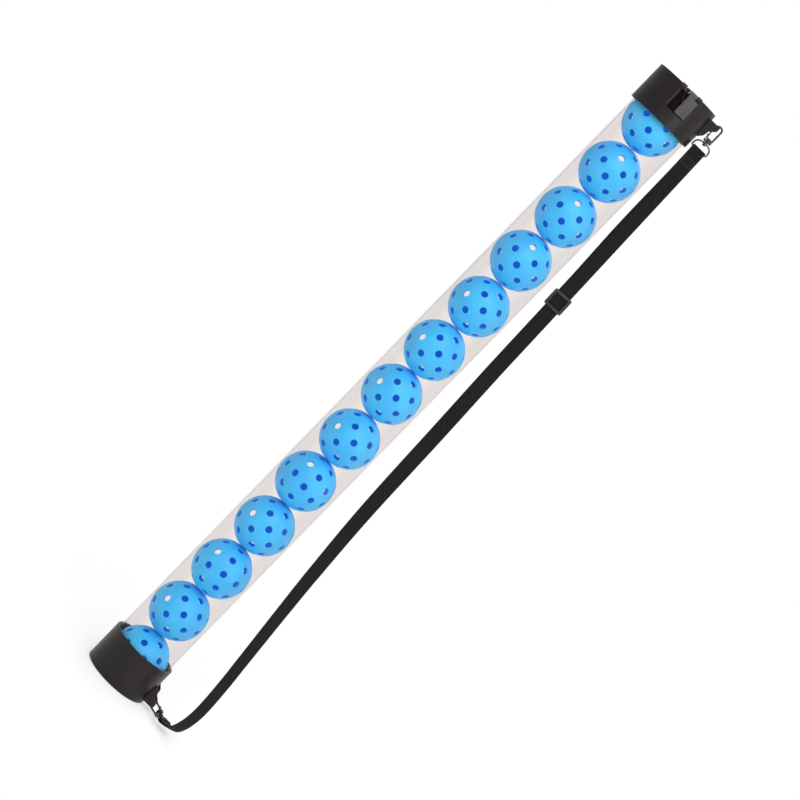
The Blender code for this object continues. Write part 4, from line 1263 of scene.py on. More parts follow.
@dataclass
class BallColumn(Assembly):
    """Hollow balls with 40 round holes each, turned as they lie in the photograph."""

    wall: float = 0.0020
    hole: float = 0.0043
    lip: float = 0.00055
    drill_top: Point = (0.002, 0.004)
    drill_mouth: Point = (0.0005, 0.0004)
    drill_deep: float = 0.003
    weld_width: float = 0.0007
    sway: float = 0.0013
    sway_turn: float = 137.5
    pole_back: float = 9.0
    picture_up: Place = (-0.698, 0.0, 0.716)
    front: tuple[Point, ...] = (
        (16, 9), (16, 45), (16, 81), (16, -63), (16, -27), (48, 16.3), (48, 67.7), (48, -35.1), (79, -14.4),
        (-16, 9), (-16, 45), (-16, 81), (-16, -63), (-16, -27), (-48, 16.3), (-48, 67.7), (-48, -86.6),
        (-48, -35.1), (-79, -14.4), (-79, 105.6), (-79, -134.4),
    )
    back: tuple[Point, ...] = (
        (31.8, -149.1), (26.2, 138.7), (-25.9, -158.2), (-52.4, 138.4), (37.4, -113.9), (71.4, -148.3),
        (46.1, -77.8), (-52.4, -151.2), (49.3, 174.4), (-26.2, 153.5), (55.6, 117.1), (2.9, -95.2),
        (-24.9, -116.5), (1.0, 154.0), (7.0, 112.7), (20.7, 176.4), (-2.0, -169.3), (6.2, -131.5), (-25.8, 114.1),
    )
    lie: tuple[tuple[float, bool], ...] = (
        (5, False), (5, False), (35, False), (5, False), (-31, True), (5, False), (5, False),
        (5, False), (5, False), (-5, True), (-5, True), (-5, True), (-5, True),
    )

    def build(self) -> None:
        """Models a ball and its mirror image, and sets a copy of one of them in each place."""
        plain = self.model_ball()
        mirrored = self.mirror(plain)
        for number, (place, (roll, other_hand)) in enumerate(zip(self.places(), self.lie), 1):
            ball = Bench.copy(mirrored if other_hand else plain)
            Bench.settle(ball, Matrix.Translation(place) @ self.turn(place, roll))
            self.hand_over(ball, f"pickleball_{number:02d}", "ball_column", Slot.BALLS)
        Bench.discard(plain, mirrored)

    @staticmethod
    def mirror(ball: Piece) -> Piece:
        """A mirror image of a ball, its faces outwards."""
        other = Bench.settle(Bench.copy(ball), Matrix.Scale(-1.0, 4, (0.0, 1.0, 0.0)))
        return Bench.shade(Bench.weld(other, 0.0000001), 24, flats=False)

    def turn(self, place: Vector, roll: float) -> Matrix:
        """How a ball is turned at its place, as seen from the photograph's point of view.

        Args:
            place: the ball's centre.
            roll: how far it is rolled clockwise in the picture.

        Returns:
            Its rotation.
        """
        towards = (Vector(PhotographCamera.place) - place).normalized()
        up = Vector(self.picture_up)
        up = (up - towards * up.dot(towards)).normalized()
        right = up.cross(towards)
        lean, spin = radians(self.pole_back), radians(roll)
        up, right = up * cos(spin) + right * sin(spin), right * cos(spin) - up * sin(spin)
        pole = up * cos(lean) - towards * sin(lean)
        return columns(towards * cos(lean) + up * sin(lean), right, pole).to_4x4()

    def directions(self) -> list[Vector]:
        """A unit vector for each hole, from its latitude and longitude."""
        angles = [(radians(lift), radians(around)) for lift, around in self.front + self.back]
        return [Vector((cos(a) * cos(b), cos(a) * sin(b), sin(a))) for a, b in angles]

    def places(self) -> list[Vector]:
        """Centres of the balls, each resting on the one below.

        Returns:
            The centres from the closed end up.
        """
        height = SIZES.floor + SIZES.gap + SIZES.ball_radius
        found: list[Vector] = []
        for number in range(len(self.lie)):
            turn, after = radians(self.sway_turn * number), radians(self.sway_turn * (number + 1))
            found.append(Vector((self.sway * cos(turn), self.sway * sin(turn), height)))
            aside = self.sway * hypot(cos(after) - cos(turn), sin(after) - sin(turn))
            height += sqrt((2 * SIZES.ball_radius + SIZES.gap) ** 2 - aside**2)
        return found

    def model_ball(self) -> Piece:
        """A hollow shell with rounded holes, its inner wall and weld line marked.

        Returns:
            The ball at the origin.
        """
        Bench.put_down()
        bpy.ops.mesh.primitive_ico_sphere_add(subdivisions=6, radius=SIZES.ball_radius)
        ball = Bench.apply(bpy.context.object, "SOLIDIFY", thickness=self.wall, offset=-1)
        radius, lip, flare = SIZES.ball_radius, self.lip, self.hole + self.lip
        rise = sqrt(radius**2 - flare**2)
        deep = radius - self.wall - self.drill_deep
        (wide, above), (flared, proud) = self.drill_top, self.drill_mouth
        profile = [(0.0, radius + above), (flare + wide, radius + above), (flare + flared, rise + proud)]
        profile += Bench.arc((flare, rise - lip), lip, 90, 180, 3) + [(self.hole, deep), (0.0, deep)]
        drill = Bench.lathe(profile, 28, closed=False)
        turns = [UP.rotation_difference(direction).to_matrix().to_4x4() for direction in self.directions()]
        drills = [Bench.settle(Bench.copy(drill), turn) for turn in turns]
        Bench.discard(drill)
        Bench.work(ball, Cut.DIFFERENCE, Bench.join(*drills))
        self.mark(ball)
        return Bench.shade(ball, 24, flats=False)

    def mark(self, ball: Piece) -> None:
        """Marks the inner wall and the weld line on the mesh.

        Args:
            ball: the ball at the origin.
        """
        inner, seam = (ball.data.attributes.new(name, "FLOAT", "POINT") for name in ("inner_wall", "weld_line"))
        limit = SIZES.ball_radius - self.wall * 0.6
        for index, vertex in enumerate(ball.data.vertices):
            inner.data[index].value = 1.0 if vertex.co.length < limit else 0.0
            seam.data[index].value = max(0.0, 1.0 - abs(vertex.co.z) / self.weld_width)


# ---------------------------------------------------------------- snap hooks


@dataclass
class SnapHook(Assembly):
    """A swivelling snap hook: body, gate, pin and eye."""

    side: str = "top"
    stand: Matrix = field(default_factory=Matrix)
    eye_turn: float = 0.0
    hook_body: str = "tube"
    gate_body: str = "top_gate"
    wire_edge: float = 0.00035
    base_edge: float = 0.0011
    head_edge: float = 0.0007
    gate_edge: float = 0.0003
    boss_edge: float = 0.0004
    root: float = 0.002
    head_flat: float = 0.0002
    nose_flat: float = 0.0004
    slot_room: float = 0.0008
    slot_left: float = -0.02
    bore_reach: float = 0.01
    knob: Place = (0.0048, 0.0012, 0.0013)
    rivet_dome: tuple[float, float, float] = (0.7, 0.00006, 0.0002)
    eye_shape: tuple[Point, ...] = ((0.62, 0.07), (0.86, 0.24), (0.98, 0.45))

    def build(self) -> None:
        """Makes the four pieces."""
        self.build_body()
        self.build_gate()
        self.build_pin()
        self.build_eye()

    def pin_bore(self, x: float, z: float) -> Piece:
        """What bores the hole for the gate's pin."""
        return Bench.rod((x, -self.bore_reach, z), (x, self.bore_reach, z), HOOK.pin_bore, 24)

    def build_body(self) -> None:
        """Bent wire, base block with its gate slot, and the swivel stem."""
        h, gap = HOOK, SIZES.gap
        path = [(h.reach, -h.loop_length - h.base_length / 2), (h.reach, (h.bend - h.loop_length) / 2)]
        path += Bench.arc((0.0, h.bend), h.reach, 0, 180, 26)
        path += [(-h.reach, h.nose + self.nose_flat), (-h.reach, h.nose)]
        body = Bench.soften(Bench.wire([(x, 0.0, z) for x, z in path], h.wire / 2, 7), self.wire_edge, 2, 60)
        foot = -h.loop_length - h.base_length
        depth = h.base_depth / 2
        base = Bench.block((-h.base_width / 2, -depth, foot), (h.loop_width / 2, depth, -h.loop_length))
        Bench.soften(base, self.base_edge, 4)
        top, e = h.eye_top - h.boss_length - gap, self.head_edge
        low = top - h.head_length
        root, flat = foot + self.root, self.head_flat
        profile = [(0.0, root), (h.stem, root), (h.stem, top), (h.head - flat, top), (h.head, top - flat)]
        profile += [*Bench.arc((h.head - e, low + e), e, 0, -90, 4), (0.0, low)]
        stem = Bench.lathe(profile, 40, closed=False)
        room, slit = h.gate_root + gap, h.gate_width / 2 + gap
        right = h.pin_x + room + self.slot_room
        slot = Bench.block((self.slot_left, -slit, h.pin_z - room), (right, slit, -h.loop_length + room))
        Bench.work(base, Cut.DIFFERENCE, slot, self.pin_bore(h.pin_x, h.pin_z))
        Bench.settle(Bench.shade(Bench.join(body, base, stem), 38), self.stand)
        self.hand_over(body, f"{self.side}_hook", self.hook_body, Slot.METAL)

    def at_pin(self) -> Matrix:
        """Frame of the gate's pin."""
        return self.stand @ Matrix.Translation((HOOK.pin_x, 0.0, HOOK.pin_z))

    def build_gate(self) -> None:
        """The sprung gate with its round root and thumb knob."""
        h = HOOK
        tip = Vector((-h.reach - h.pin_x, 0.0, h.nose - h.tip_gap - h.pin_z))
        half, face = h.gate_width / 2, h.gate_thickness / 2
        gate = Bench.rod((0, -half, 0), (0, half, 0), h.gate_root, 36)
        arm = Bench.block((-face, -half, 0), (face, half, tip.length))
        height, length, radius = self.knob
        knob = Bench.rod((0, 0, height), (-face - length, 0, height), radius, 28)
        lean = Matrix.Rotation(atan2(tip.x, tip.z), 4, "Y")
        Bench.work(gate, Cut.UNION, *[Bench.settle(piece, lean) for piece in (arm, knob)])
        Bench.work(gate, Cut.DIFFERENCE, self.pin_bore(0.0, 0.0))
        Bench.shade(Bench.soften(gate, self.gate_edge, 3, 40), 38)
        self.hand_over(
            Bench.settle(gate, self.at_pin()), f"{self.side}_hook_gate", self.gate_body, Slot.METAL,
        )

    def build_pin(self) -> None:
        """The rivet with its slightly domed heads."""
        half = HOOK.base_depth / 2 + SIZES.gap
        crown, dome, rim = self.rivet_dome
        head = [(0.0, half), (HOOK.pin * crown, half - dome), (HOOK.pin, half - rim)]
        profile = [*head, (HOOK.pin, 0.0), *((x, -z) for x, z in reversed(head))]
        pin = Bench.settle(Bench.lathe(profile, 28, closed=False), turned(90, "X"))
        Bench.settle(Bench.shade(pin, 50), self.at_pin())
        self.hand_over(pin, f"{self.side}_gate_pin", self.hook_body, Slot.STEEL)

    def build_eye(self) -> None:
        """The wire stirrup that holds the webbing, with its bored boss round the stem."""
        h = HOOK
        shoulder = h.eye_top - h.boss_length / 2
        controls = [Vector((h.boss, 0.0, shoulder))]
        controls += [Vector((h.eye_half * x, 0.0, shoulder - h.eye_height * z)) for x, z in self.eye_shape]
        controls.append(Vector((h.eye_half, 0.0, h.bar_drop + h.eye_corner)))
        right = Route.smooth(controls, controls[-1] - Vector((0.0, 0.0, 0.002)), 0.0009)
        corner = Bench.arc((h.eye_half - h.eye_corner, h.bar_drop + h.eye_corner), h.eye_corner, 0, -90, 8)[1:]
        right += [Vector((x, 0.0, z)) for x, z in corner]
        left = [Vector((-point.x, 0.0, point.z)) for point in reversed(right)]
        eye = Bench.wire(right + left, h.eye_wire / 2, 6, closed=True)
        boss = Bench.rod((0, 0, h.eye_top - h.boss_length), (0, 0, h.eye_top), h.boss, 44)
        Bench.work(eye, Cut.UNION, Bench.soften(boss, self.boss_edge, 2, 60))
        ends = [(0, 0, h.eye_top + reach) for reach in (-self.bore_reach, self.bore_reach)]
        bore = Bench.rod(*ends, h.stem + SIZES.gap, 32)
        Bench.shade(Bench.work(eye, Cut.DIFFERENCE, bore), 38)
        Bench.settle(eye, self.stand @ turned(self.eye_turn, "Z"))
        self.hand_over(eye, f"{self.side}_eye", "strap", Slot.METAL)


# ---------------------------------------------------------------- strap


class Route:
    """Where the webbing runs, worked out as in the model's source."""

    run_foot = Vector((0.0676, -0.00195, 0.600))
    low_points = (
        (0.0716, -0.0050, 0.4960), (0.0762, -0.0125, 0.3650), (0.0830, -0.0210, 0.2680), (0.0880, -0.0270, 0.2130),
        (0.0960, -0.0360, 0.1330), (0.0995, -0.0402, 0.0980), (0.1018, -0.0435, 0.0620), (0.1012, -0.0437, 0.0410),
        (0.0978, -0.0405, 0.0230), (0.0920, -0.0350, 0.0118),
    )
    top_lug = (0.0581, 0.0, 0.9844)
    bottom_lug = (0.0534, 0.00335, 0.009)
    slider_height = 0.7045
    twist_end = 0.090
    yaw = 45.0

    def __init__(self) -> None:
        """Works out the frames of both hooks and the slider, the eyes' bars and the straight run."""
        yaw, down = radians(self.yaw), -UP
        self.outward = Vector((cos(yaw), -sin(yaw), 0.0))
        self.top_stand = Matrix.Translation(self.top_lug)
        self.bottom_stand = columns(down, (-self.outward).cross(down), -self.outward).to_4x4()
        self.bottom_stand.translation = self.bottom_lug
        bar = Vector((0.0, 0.0, HOOK.bar_drop))
        self.upper_bar, self.lower_bar = self.top_stand @ bar, self.bottom_stand @ bar
        self.run_top = self.upper_bar - Vector((0.0, STRAP.wrap, 0.0))
        self.up = (self.run_top - self.run_foot).normalized()
        self.behind = self.up.cross(self.width(1.0)).normalized()
        self.across = self.behind.cross(self.up)
        share = (self.slider_height - self.run_foot.z) / (self.run_top.z - self.run_foot.z)
        self.slider_stand = columns(self.across, self.behind, self.up).to_4x4()
        self.slider_stand.translation = self.run_foot.lerp(self.run_top, share)

    @classmethod
    def width(cls, height: float) -> Vector:
        """Direction of the webbing's width at a height above the floor.

        Args:
            height: above the floor.

        Returns:
            A level unit vector.
        """
        share = min(max((cls.run_foot.z - height) / (cls.run_foot.z - cls.twist_end), 0.0), 1.0)
        turn = radians(cls.yaw) * ease(share)
        return Vector((cos(turn), sin(turn), 0.0))

    @staticmethod
    def smooth(controls: Sequence[Vector], beyond: Vector, step: float) -> list[Vector]:
        """Even points on a smooth curve through the controls.

        Args:
            controls: points that it passes.
            beyond: where it heads after the last.
            step: spacing of the points.

        Returns:
            The points, the last control included.
        """
        padded = [2 * controls[0] - controls[1], *controls, beyond]
        points = []
        for a, b, c, d in zip(padded, padded[1:], padded[2:], padded[3:]):
            count = max(3, round((c - b).length / step))
            for i in range(count):
                t = i / count
                points.append(0.5 * (
                    2 * b + (c - a) * t + (2 * a - 5 * b + 4 * c - d) * t * t + (3 * b - a - 3 * c + d) * t**3
                ))
        points.append(controls[-1].copy())
        return points

    @staticmethod
    def round_bar(centre: Vector, first: Vector, axis: Vector, steps: int = 18) -> list[Station]:
        """Half a turn round a bar, from centre + first, without its two ends."""
        turns = [Matrix.Rotation(radians(-180 * i / steps), 3, axis) for i in range(1, steps)]
        return [(centre + turn @ first, axis) for turn in turns]

    @staticmethod
    def layer_distance(along: float) -> float:
        """Centre distance of two layers at a distance from the bar, until they lie on each other."""
        return 2 * STRAP.wrap + (STRAP.layer - 2 * STRAP.wrap) * ease(min(along / STRAP.merge, 1.0))


ROUTE = Route()


@dataclass
class Strap(Assembly):
    """The webbing: its long piece, the layer behind and the loop in the slider, with their sewing."""

    roundness: float = 0.00052
    drift: float = 0.0012
    leave: float = 0.005
    step: float = 0.0035
    travel: float = 0.19
    loop_top: float = 0.0215
    loop_rise: float = 0.0043
    loop_fall: float = 0.0082
    loop_flat: float = 0.004
    stitch: float = 0.0023
    seam_half: float = 0.0072
    tail_seams: Point = (0.70, 0.86)
    loop_seams: Point = (0.0030, 0.0012)
    box: Point = (0.0070, 0.0048)
    box_drop: float = 0.0190
    thread_radius: float = 0.00024
    thread_lift: tuple[Point, ...] = (
        (0.0, -0.00022), (0.16, 0.00006), (0.5, 0.00013), (0.84, 0.00006), (1.0, -0.00022),
    )
    thread: Material | None = None

    def build(self) -> None:
        """Makes the three lengths and their stitches."""
        self.build_long_piece()
        self.build_return()
        self.build_loop()

    def sew(self, name: str, body: str, rows: Sequence[SeamRow]) -> None:
        """Rows of lock stitches, each a short thread that dips into the webbing at both ends.

        Args:
            name: the piece's name.
            body: the body that it rides on.
            rows: start, end and outward direction of each row, on the webbing's face.
        """
        stitches = []
        for start, end, out in rows:
            count = max(1, round((end - start).length / self.stitch))
            for i in range(count):
                first, last = (start.lerp(end, (i + share) / count) for share in (0.1, 0.9))
                line = [first.lerp(last, share) + out * lift for share, lift in self.thread_lift]
                stitches.append(Bench.wire(line, self.thread_radius, 2))
        seam = Bench.shade(Bench.join(*stitches), 60, flats=False)
        self.dress(seam, name, body, Slot.WEBBING, self.thread)

    def seam_row(self, middle: Vector, across: Vector, out: Vector) -> SeamRow:
        """A row straight across the webbing."""
        return middle - across * self.seam_half, middle + across * self.seam_half, out

    def seam_box(self, middle: Vector, along: Vector, across: Vector, out: Vector) -> list[SeamRow]:
        """The four rows of a sewn box.

        Args:
            middle: its middle on the webbing's face.
            along: unit vector along the webbing.
            across: unit vector across it.
            out: unit vector off its face.

        Returns:
            The rows.
        """
        a, b = across * self.box[0], along * self.box[1]
        corners = [middle - a - b, middle + a - b, middle + a + b, middle - a + b]
        return [(first, last, out) for first, last in zip(corners, corners[1:] + corners[:1])]

    def ribbon(self, stations: Sequence[Station]) -> Piece:
        """Webbing through stations, with rounded selvedges and its own map in metres.

        Args:
            stations: (centre, width direction) along it.

        Returns:
            The closed ribbon.
        """
        half, thick, r = STRAP.width / 2, STRAP.thickness / 2, self.roundness
        flat = [(-half + r + (2 * half - 2 * r) * i / 6, -thick) for i in range(7)]
        edge = [(half - r + r * sin(pi * i / 4), -thick * cos(pi * i / 4)) for i in range(1, 4)]
        ring = flat + edge + [(-x, -y) for x, y in flat + edge]
        count, rows = len(ring), len(stations)
        Bench.put_down()
        bpy.ops.mesh.primitive_grid_add(x_subdivisions=count, y_subdivisions=rows - 1, size=1)
        made = bpy.context.object
        mesh = made.data
        centres = [centre for centre, _ in stations]
        lengths = [0.0]
        for here, after in zip(centres, centres[1:]):
            lengths.append(lengths[-1] + (after - here).length)
        where: list[Point] = []
        for index, vertex in enumerate(mesh.vertices):
            row, column = divmod(index, count + 1)
            centre, across = stations[row]
            ahead = (centres[min(row + 1, rows - 1)] - centres[max(row - 1, 0)]).normalized()
            flat_across = (across - ahead * across.dot(ahead)).normalized()
            x, y = ring[column % count]
            vertex.co = centre + flat_across * x + ahead.cross(flat_across) * y
            where.append((x, lengths[row]))
        layer = mesh.uv_layers[0]
        layer.name = "weave"
        for loop in mesh.loops:
            layer.data[loop.index].uv = where[loop.vertex_index]
        Bench.open_edges(Bench.weld(made, BOOLEAN_MERGE))
        bpy.ops.mesh.select_non_manifold()
        bpy.ops.mesh.edge_face_add()
        bpy.ops.mesh.select_mode(type="VERT")
        Bench.close(0.0)
        return Bench.shade(made, 50, flats=False)

    def build_long_piece(self) -> None:
        """Sewn tail, lower eye, free belly, straight run, upper eye and fold."""
        top, low, wrap = ROUTE.run_top, ROUTE.run_foot, STRAP.wrap
        low_across, high_across = ROUTE.width(0.0), ROUTE.width(1.0)
        leave = ROUTE.lower_bar - UP * wrap
        points = [Vector(point) for point in reversed(ROUTE.low_points)]
        controls = [leave, leave + ROUTE.outward * self.leave, *points, low]
        free = ROUTE.smooth(controls, low.lerp(top, 0.3), self.step)
        stations: list[Station] = []
        tail: list[Station] = []
        travelled = 0.0
        for here, after in zip(free, free[1:]):
            ahead = (after - here).normalized()
            across = ROUTE.width(here.z)
            across = (across - ahead * across.dot(ahead)).normalized()
            stations.append((here, across))
            if travelled <= STRAP.sewn_tail:
                tail.append((here + ahead.cross(across) * ROUTE.layer_distance(travelled), across))
            travelled += (after - here).length
        tail[0] = (leave + UP * 2 * wrap, low_across)
        front = -ROUTE.behind * wrap
        path = [*reversed(tail), *ROUTE.round_bar(ROUTE.lower_bar, UP * wrap, low_across), *stations]
        path += [(low.lerp(ROUTE.upper_bar + front, i / 90), high_across) for i in range(91)]
        path += ROUTE.round_bar(ROUTE.upper_bar, front, high_across)
        for i in range(13):
            along = STRAP.fold * i / 12
            centre = ROUTE.upper_bar + front - ROUTE.up * along + ROUTE.behind * ROUTE.layer_distance(along)
            path.append((centre, high_across))
        self.hand_over(self.ribbon(path), "strap_webbing", "strap", Slot.WEBBING)
        self.sew_ends(stations, ROUTE.upper_bar + front - ROUTE.up * self.box_drop, high_across)

    def sew_ends(self, stations: Sequence[Station], box: Vector, width: Vector) -> None:
        """Sews the box under the upper eye and two rows beside the lower eye, on both faces.

        Args:
            stations: the webbing from the lower eye on.
            box: middle of the box, inside the front layer.
            width: direction of the webbing's width there.
        """
        behind, thick = ROUTE.behind, STRAP.thickness / 2
        layers = STRAP.layer + thick
        rows = self.seam_box(box - behind * thick, -ROUTE.up, width, -behind)
        self.sew("strap_seam_top", "strap", rows + self.seam_box(box + behind * layers, -ROUTE.up, width, behind))
        rows = []
        for share in self.tail_seams:
            centre, across, ahead = self.at_length(stations, STRAP.sewn_tail * share)
            out = ahead.cross(across)
            rows.append(self.seam_row(centre + out * layers, across, out))
            rows.append(self.seam_row(centre - out * thick, across, -out))
        self.sew("strap_seam_bottom", "strap", rows)

    @staticmethod
    def at_length(stations: Sequence[Station], length: float) -> tuple[Vector, Vector, Vector]:
        """Where the webbing is at a length along it.

        Args:
            stations: the stations from the start.
            length: how far along, less than the whole.

        Returns:
            Its centre, its width direction and its way ahead.
        """
        travelled = 0.0
        for (here, across), (after, _) in zip(stations, stations[1:]):
            step = (after - here).length
            if travelled + step >= length:
                break
            travelled += step
        return here.lerp(after, (length - travelled) / step), across, (after - here).normalized()

    def build_return(self) -> None:
        """The layer behind the straight run, from the fold down to the slider where it stands."""
        behind, width, steps = ROUTE.behind * STRAP.layer, ROUTE.width(1.0), 48
        start = ROUTE.run_top - ROUTE.up * (STRAP.fold + SIZES.gap) + behind
        end = ROUTE.slider_stand.translation + ROUTE.up * (self.loop_top + SIZES.gap) + behind
        stations = []
        for i in range(steps + 1):
            share = i / steps
            centre = start.lerp(end, share) - width * (self.drift * sin(pi * share) ** 2)
            stations.append((centre, width.lerp(ROUTE.across, share).normalized()))
        layer = self.ribbon(stations)
        self.hand_over(layer, "strap_return", "strap", Slot.WEBBING)
        length = (end - start).length
        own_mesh(layer)

    def build_loop(self) -> None:
        """The end that goes round the slider's middle bar and is sewn to itself."""
        stand, bar, near, far = ROUTE.slider_stand, STRAP.bar_offset, STRAP.layer, 2 * STRAP.layer
        top, turn = self.loop_top, bar - near
        outer = bar + turn
        side = [(near, top * (1 - i / 8)) for i in range(9)]
        side += [(bar - turn * cos(radians(12 * i)), -turn * sin(radians(12 * i))) for i in range(1, 15)]
        side += [(outer, 0.0), (outer, self.loop_rise)]
        climb = top - self.loop_fall - self.loop_rise
        side += [(outer + (far - outer) * ease(i / 4), self.loop_rise + climb * i / 4) for i in range(1, 5)]
        side += [(far, top - self.loop_flat), (far, top)]
        loop = self.ribbon([(stand @ Vector((0.0, y, z)), ROUTE.across) for y, z in side])
        self.hand_over(loop, "strap_slider_loop", "slider", Slot.WEBBING)
        back = stand.to_3x3() @ Vector((0.0, 1.0, 0.0))
        middles = [stand @ Vector((0.0, far + STRAP.thickness / 2, top - drop)) for drop in self.loop_seams]
        self.sew("slider_seam", "slider", [self.seam_row(middle, ROUTE.across, back) for middle in middles])


@dataclass
class Slider(Assembly):
    """The length adjuster: rails, two end bars in front and a middle bar behind."""

    rail: float = 0.0026
    bar: float = 0.0035
    front_wall: float = 0.0018
    length: float = 0.023
    corner: float = 0.0022
    edge: float = 0.00045
    seat: float = 0.0013
    overlap: float = 0.0007
    channel_end: float = 0.02
    channel_back: float = 0.005
    window_front: float = 0.01

    def build(self) -> None:
        """Makes the frame, cuts channel and window, and adds the middle bar."""
        inner, view = STRAP.width / 2 + SIZES.gap, STRAP.width / 2 - self.overlap
        wide, half = inner + SIZES.gap + self.rail, self.length / 2
        front, offset, radius = -STRAP.thickness / 2 - SIZES.gap, STRAP.bar_offset, STRAP.slider_bar
        back = offset + radius
        slider = Bench.block((-wide, front - self.front_wall, -half), (wide, back, half))
        self.round_corners(slider)
        channel = Bench.block((-inner, front, -self.channel_end), (inner, back + self.channel_back, self.channel_end))
        window = Bench.block((-view, front - self.window_front, -half + self.bar), (view, back, half - self.bar))
        Bench.work(slider, Cut.DIFFERENCE, channel, window)
        Bench.soften(Bench.weld(slider, BOOLEAN_MERGE), self.edge, 3, 40)
        reach = inner + self.seat
        Bench.join(slider, Bench.rod((-reach, offset, 0), (reach, offset, 0), radius, 28))
        Bench.settle(Bench.shade(slider), ROUTE.slider_stand)
        self.hand_over(slider, "strap_slider", "slider", Slot.SLIDER)

    def round_corners(self, slider: Piece) -> None:
        """Bevels the four edges of the block that run along Y.

        Args:
            slider: the block.
        """
        Bench.open_edges(slider)
        bpy.ops.object.mode_set(mode="OBJECT")
        for edge in slider.data.edges:
            a, b = (slider.data.vertices[i].co for i in edge.vertices)
            edge.select = max(abs(a.x - b.x), abs(a.z - b.z)) < 1e-6
        bpy.ops.object.mode_set(mode="EDIT")
        bpy.ops.mesh.bevel(offset=self.corner, segments=5, affect="EDGES")
        bpy.ops.mesh.select_mode(type="VERT")
        bpy.ops.object.mode_set(mode="OBJECT")


# ---------------------------------------------------------------- studio


@dataclass
class PhotographCamera:
    """The camera, solved from where the tube's two ends lie in the photograph."""

    place: Place = (0.0, -3.2, 0.84)
    upper: Point = (688.6, 90.2)
    lower: Point = (115.6, 677.5)
    picture: float = 800.0
    sensor: float = 36.0
    focal_range: Point = (500.0, 20000.0)

    def ray(self, pixel: Point, focal: float) -> Vector:
        """Unit direction of a pixel in the camera's own axes, its focal length in pixels."""
        half = self.picture / 2
        return Vector((pixel[0] - half, half - pixel[1], -focal)).normalized()

    @staticmethod
    def axes(first: Vector, second: Vector) -> Matrix:
        """Three square axes: along the first direction, to the side of the second, and across both."""
        side = (second - first * second.dot(first)).normalized()
        return columns(first, side, first.cross(side))

    def build(self) -> None:
        """Adds the camera and makes it the scene's."""
        here = Vector(self.place)
        to_upper, to_lower = ((UP * height - here).normalized() for height in (SIZES.overall, 0.0))
        low, high = self.focal_range
        for _ in range(60):
            focal = (low + high) / 2
            seen = self.ray(self.upper, focal), self.ray(self.lower, focal)
            if seen[0].angle(seen[1]) > to_upper.angle(to_lower):
                low = focal
            else:
                high = focal
        turn = self.axes(to_upper, to_lower) @ self.axes(*seen).transposed()
        lens = bpy.data.cameras.new("photograph_camera")
        lens.sensor_width = self.sensor
        lens.lens = focal * self.sensor / self.picture
        camera = bpy.data.objects.new("photograph_camera", lens)
        camera.matrix_world = Matrix.Translation(here) @ turn.to_4x4()
        bpy.context.scene.collection.objects.link(camera)
        bpy.context.scene.camera = camera
        LOG.info("camera: focal length %.1f mm", lens.lens)


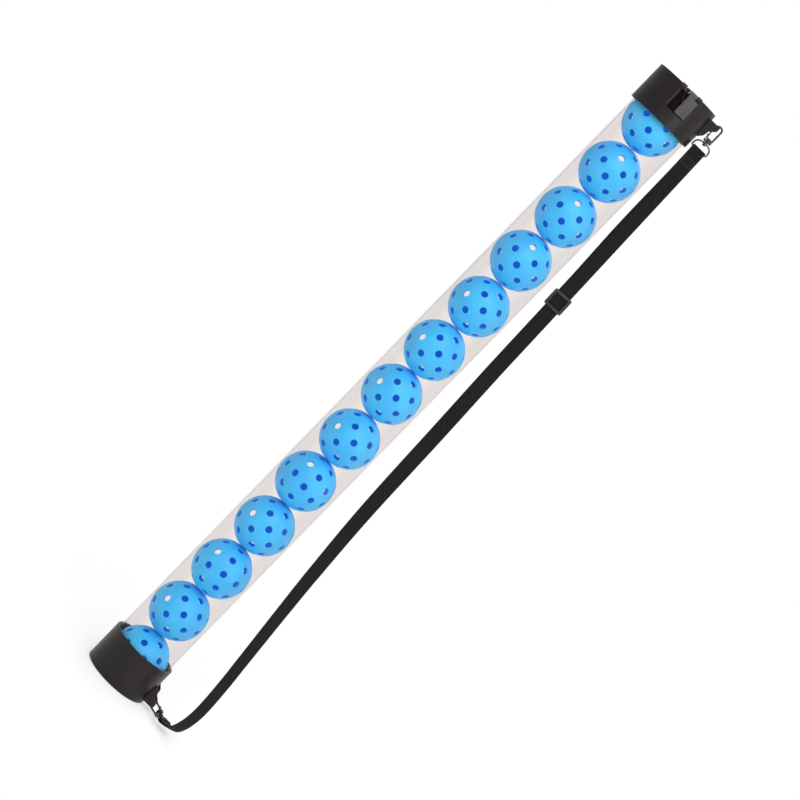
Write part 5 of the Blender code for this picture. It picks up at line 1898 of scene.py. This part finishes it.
@dataclass
class Studio:
    """Floor, white surroundings and three soft lamps."""

    floor_size: float = 12.0
    around: Point = (0.58, 0.92)
    aim: Place = (0.0, 0.0, 0.5)
    lamps: tuple[tuple[str, Place, float, float], ...] = (
        ("key_panel", (0.2, -2.4, 3.0), 2.2, 60.0),
        ("side_panel", (1.75, -2.1, 1.15), 1.1, 12.0),
        ("back_panel", (0.2, 2.4, 2.4), 2.0, 20.0),
    )

    def build(self) -> None:
        """Lays the floor, lights the world and hangs the lamps."""
        bpy.context.scene.view_settings.view_transform = "Standard"
        self.lay_floor()
        self.light_world()
        for name, place, size, power in self.lamps:
            lamp = bpy.data.lights.new(name, "AREA")
            lamp.shape = "SQUARE"
            lamp.size = size
            lamp.energy = power
            hung = bpy.data.objects.new(name, lamp)
            hung.location = place
            hung.rotation_euler = (Vector(self.aim) - Vector(place)).to_track_quat("-Z", "Y").to_euler()
            bpy.context.scene.collection.objects.link(hung)

    def lay_floor(self) -> None:
        """The pale floor under the object."""
        Bench.put_down()
        bpy.ops.mesh.primitive_plane_add(size=self.floor_size)
        floor = bpy.context.object
        floor.name = "studio_floor"
        floor.data.materials.append(StudioFloor("studio_floor").make())

    def light_world(self) -> None:
        """Soft light from all round, a little stronger from +X, seen as white."""
        world = bpy.data.worlds.new("studio_world")
        bpy.context.scene.world = world
        sheet = Sheet(world)
        side = sheet.add("SeparateXYZ", {0: sheet.add("TexCoord", out="Generated")}).ramp(-1.0, 1.0, *self.around)
        strength = sheet.add("MapRange", {0: sheet.rays("Camera", "Transmission"), 3: side, 4: 1.0})
        glow = sheet.node("Background", {"Color": WHITE, "Strength": strength})
        sheet.node("OutputWorld", {"Surface": glow.outputs[0]})


# ---------------------------------------------------------------- the whole


def make_finishes() -> dict[Slot, Material]:
    """Makes every slot's finish once.

    Returns:
        The material of each slot.
    """
    caps = MouldedPlastic(
        "cap_plastic", (0.0056, 0.0026, 0.0030), (0.0108, 0.0062, 0.0066), 0.38,
        # The pocket band is the latch recess, which gets painted shade.
        gloss=0.32, pocket=(0.0402, 0.0440, 0.9577, 0.9846),
    )
    slider = MouldedPlastic(
        "slider_plastic", (0.018, 0.0168, 0.0174), (0.034, 0.0322, 0.0330), 0.34, grain=0.00003,
    )
    finishes = {
        Slot.CLEAR: ClearPlastic("clear_extrusion"),
        Slot.CAPS: caps,
        Slot.BALLS: BallPlastic("ball_plastic"),
        Slot.METAL: Metal("black_lacquer", (0.020, 0.020, 0.021), (0.11, 0.108, 0.105), 0.30, 0.55, 0.8),
        Slot.STEEL: Metal("bright_steel", (0.52, 0.52, 0.53), (0.62, 0.62, 0.63), 0.24, 1.0),
        Slot.WEBBING: Webbing("strap_weave"),
        Slot.SLIDER: slider,
    }
    return {slot: finish.make() for slot, finish in finishes.items()}


def main() -> None:
    """Builds the classes in order and reports each piece."""
    logging.basicConfig(level=logging.INFO, format="%(name)s: %(message)s")
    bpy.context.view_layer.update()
    finishes = make_finishes()
    ClearTube(finishes).build()
    ClosedCap(finishes).build()
    MouthCollar(finishes).build()
    SprungCatch(finishes).build()
    BallColumn(finishes).build()
    SnapHook(finishes, side="top", stand=ROUTE.top_stand).build()
    SnapHook(
        finishes, side="bottom", stand=ROUTE.bottom_stand, eye_turn=90.0,
        hook_body="bottom_swivel", gate_body="bottom_gate",
    ).build()
    Strap(finishes, thread=Thread("sewing_thread").make()).build()
    Slider(finishes).build()
    Studio().build()
    PhotographCamera().build()
    Bench.put_down()


if __name__ == "__main__":
    main()
